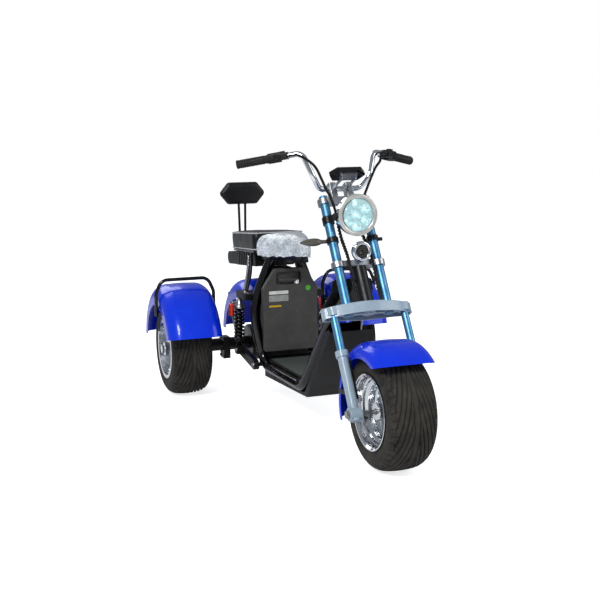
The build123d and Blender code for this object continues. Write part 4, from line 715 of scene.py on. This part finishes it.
# ---------------------------------------------------------------- rear shocks
# Each has a black coil spring round a damper, a cast top cap, and an orange gas cylinder on its outer
# side. A bright brace runs from the seat's frame to the upper mount.
# Orange-red lacquer, with scuffs that are a little darker.
orange = mottled("orange_red_lacquer", "#D8310F", "#B5280E", 30, 0.25, 0.4, coat=0.6)
damper = [(0.05, 5), (14, 5), (14, 24), (20, 27), (24, 29), (24, 33), (14.5, 34), (14.5, 150), (8, 152),
          (8, 180), (0.05, 180)]
shock_cap = [(0.05, 182), (24, 182), (25, 186), (24, 194), (18, 200), (14, 204), (13.5, 229), (0.05, 229)]
gas_cylinder = [(0.05, 0), (10, 0), (12.8, 3), (12.8, 14), (12.2, 15), (12.2, 17), (12.8, 18), (12.8, 55),
                (10, 58), (0.05, 58)]
for side, sign in (("right", -1), ("left", 1)):
    foot, head = np.array([-0.498, sign * 0.178, 0.232]), np.array([-0.480, sign * 0.178, 0.462])
    length = np.linalg.norm(head - foot)
    slant = (head - foot) / length
    coils = 8.5
    steps = np.linspace(0, 1, 560)
    across = np.cross(slant, [0, 1, 0])
    angle = (steps * coils * 2 * pi)[:, None]
    around = across * np.cos(angle) + np.array([0, 1, 0]) * np.sin(angle)
    coil = foot + slant * (0.034 + steps[:, None] * (length - 0.084)) + 0.0205 * around
    spring = tube(f"{side}_spring", coil, 0.0052, gloss_black, "chassis", slant, 10)
    if sign < 0:
        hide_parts("rear_shocks")
    turned(f"{side}_damper", foot, slant, damper, satin_black, "chassis", 48)
    turned(f"{side}_shock_cap", foot, slant, shock_cap, cast_aluminium, "chassis", 48)
    gas_foot = foot + slant * (length - 0.084) + np.array([-0.004, sign * 0.037, 0])
    turned(f"{side}_gas_cylinder", gas_foot, slant, gas_cylinder, orange, "chassis", 48)
    link_foot = foot + slant * (length - 0.022)
    link = np.stack([link_foot + np.array([-0.002, sign * w, 0]) for w in np.linspace(0.004, 0.036, 12)])
    tube(f"{side}_gas_link", link, 0.0075, cast_aluminium, "chassis", (1, 0, 0), 16)
    brace = eased([(-0.508, sign * 0.118, 0.650), (-0.492, sign * 0.134, 0.570),
                   (-0.482, sign * 0.152, 0.494)], 40)
    tube(f"{side}_bright_brace", brace, 0.0065, chrome, "chassis", (1, 0, 0), 16)


# ---------------------------------------------------------------- battery cover
# A grey moulded door with a carrying recess. It has a chromed lock and four bare stickers.
def flat_plate(name, centre, width, height, corner, thickness_mm, material):
    """A thin rounded plate that faces ahead: an outline carried through its thickness."""
    w, h, count = width / 2, height / 2, 80
    outline = rounded([(-w, -h), (-w, h), (w, h), (w, -h)], corner, count)
    rings = [(0, 0), (0.6, 0), (1, 0), (1, thickness_mm * 0.7), (0.985, thickness_mm), (0.6, thickness_mm),
             (0, thickness_mm)]
    middle = (outline.max(0) + outline.min(0)) / 2
    points = np.stack([np.stack([np.full(count, depth), *(middle + (outline - middle) * scale).T], 1)
                       for scale, depth in rings]) / 1000
    return crisp(shell_piece(name, points + np.asarray(centre), material, "chassis"), 30)


# Plastic film, bare of print: flat colours that are a little worn.
grey_sticker = mottled("worn_grey_sticker", "#8F918D", "#75777A", 30, 0.4, 0.55)
pale_sticker = mottled("pale_grey_sticker", "#C9CBC6", "#A9ABA6", 30, 0.35, 0.5)
yellow_sticker = mottled("yellow_sticker", "#C2A21C", "#A88A14", 30, 0.35, 0.5)
green_sticker = mottled("green_sticker", "#4FAE3C", "#3F9430", 30, 0.35, 0.5)
cover_x, sticker_mm = -0.2750, 0.7
flat_plate("pale_sticker", (cover_x, -0.056, 0.505), 92, 15, 2, sticker_mm, pale_sticker)
flat_plate("grey_sticker", (cover_x, -0.056, 0.479), 92, 28, 2, sticker_mm, grey_sticker)
flat_plate("yellow_sticker", (cover_x, -0.073, 0.444), 58, 8, 2, sticker_mm, yellow_sticker)
flat_plate("green_sticker", (cover_x, 0.085, 0.519), 24, 24, 11.9, sticker_mm, green_sticker)
turned("cover_lock", (cover_x, 0.030, 0.549), (1, 0, 0),
       [(0.05, 0), (11, 0), (11, 2.4), (9, 4), (3, 4.2), (2.4, 3), (0.05, 3)], chrome, "chassis", 48)

# ---------------------------------------------------------------- floor mat
# A ribbed rubber mat is glued to the floor board and another to the kick panel.
def ribbed_mat(name, origin, along_dir, out_dir, widths, length, ribs):
    """A mat's closed section, with sine ribs on top, carried along the vehicle between two widths."""
    count = ribs * 10 + 1
    u = np.linspace(-1, 1, count)
    top = 0.0022 + 0.0013 * np.clip(1.6 * np.cos(u * ribs * pi), -1, 1)
    section = np.concatenate([np.stack([u, top], 1), np.stack([u[::-1][::10], np.full(ribs + 1, 0.0003)], 1)])
    rows = 24
    stations = np.linspace(0, 1, rows)
    half = np.interp(stations, np.linspace(0, 1, len(widths)), widths)
    along_dir, out_dir = np.asarray(along_dir, dtype=float), np.asarray(out_dir, dtype=float)
    across = section[None, :, :1] * half[:, None, None] * np.array([0, 1, 0])
    points = (np.asarray(origin) + stations[:, None, None] * length * along_dir + across
              + section[None, :, 1:] * out_dir)
    n = len(section)
    faces = grid_faces(rows, n, False, True).tolist()
    faces += [list(range(n)), list(range(rows * n - 1, (rows - 1) * n - 1, -1))]
    piece = mesh_piece(name, points, faces, mat_rubber, "chassis")
    tidy_shell(piece)
    return crisp(piece, 40)


# Ribbed rubber: green-grey and dull, trodden paler in places.
mat_rubber = mottled("ribbed_mat_rubber", "#3C4341", "#4E534F", 60, 0.55, 0.8, bump=0.3, grain_mm=1.2)
ribbed_mat("floor_mat", (-0.262, 0, 0.2052), (1, 0, 0), (0, 0, 1), (0.100, 0.096), 0.352, 22)
tilt = np.array([0.190, 0, 0.300]) / np.hypot(0.190, 0.300)
outwards = np.array([-tilt[2], 0, tilt[0]])
kick_foot = np.array([0.155, 0, 0.172]) + tilt * 0.056 + outwards * 0.0274
ribbed_mat("kick_mat", kick_foot, tilt, outwards, (0.092, 0.056), 0.250, 18)


# ---------------------------------------------------------------- fixings
# Zinc-plated bolts and nuts hold the fenders, the arms and the shocks.
def round_axle(x, reach, angle):
    """The place along and up at a reach from an axle, at an angle from straight ahead."""
    return x + reach * cos(angle), axle_height + reach * sin(angle)


clamp_bolts = ((-0.022, 0.026), (0.022, 0.026), (-0.022, -0.054), (0.022, -0.054))
for side, sign in (("right", -1), ("left", 1)):
    bolt_head(f"{side}_pivot_nut", (-0.332, sign * 0.1643, 0.172), (0, sign, 0), 17, "chassis", 9)
    bolt_head(f"{side}_shock_low_bolt", (-0.498, sign * 0.1945, 0.214), (0, sign, 0), 13, "chassis", 7)
    for k, (dx, dz) in enumerate(clamp_bolts):
        bolt_head(f"{side}_clamp_bolt_{k}", (rear_x + dx, sign * 0.2223, axle_height + dz), (0, sign, 0), 10,
                  "chassis", 6)
    for k, angle in enumerate((62, 118)):
        x, z = round_axle(rear_x, 0.212, radians(angle))
        bolt_head(f"{side}_fender_bolt_{k}", (x, sign * 0.2795, z), (0, -sign, 0), 10, "chassis", 5)
    x, z = round_axle(front_x, 0.201, pi / 2 + steering_lean)
    bolt_head(f"{side}_fender_stay_bolt", (x, sign * 0.1238, z), (0, sign, 0), 10, "steering", 5)

size = {"cad": [list(map(float, corner)) for corner in cad_box],
        "visual": [list(map(float, corner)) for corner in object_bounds()]}
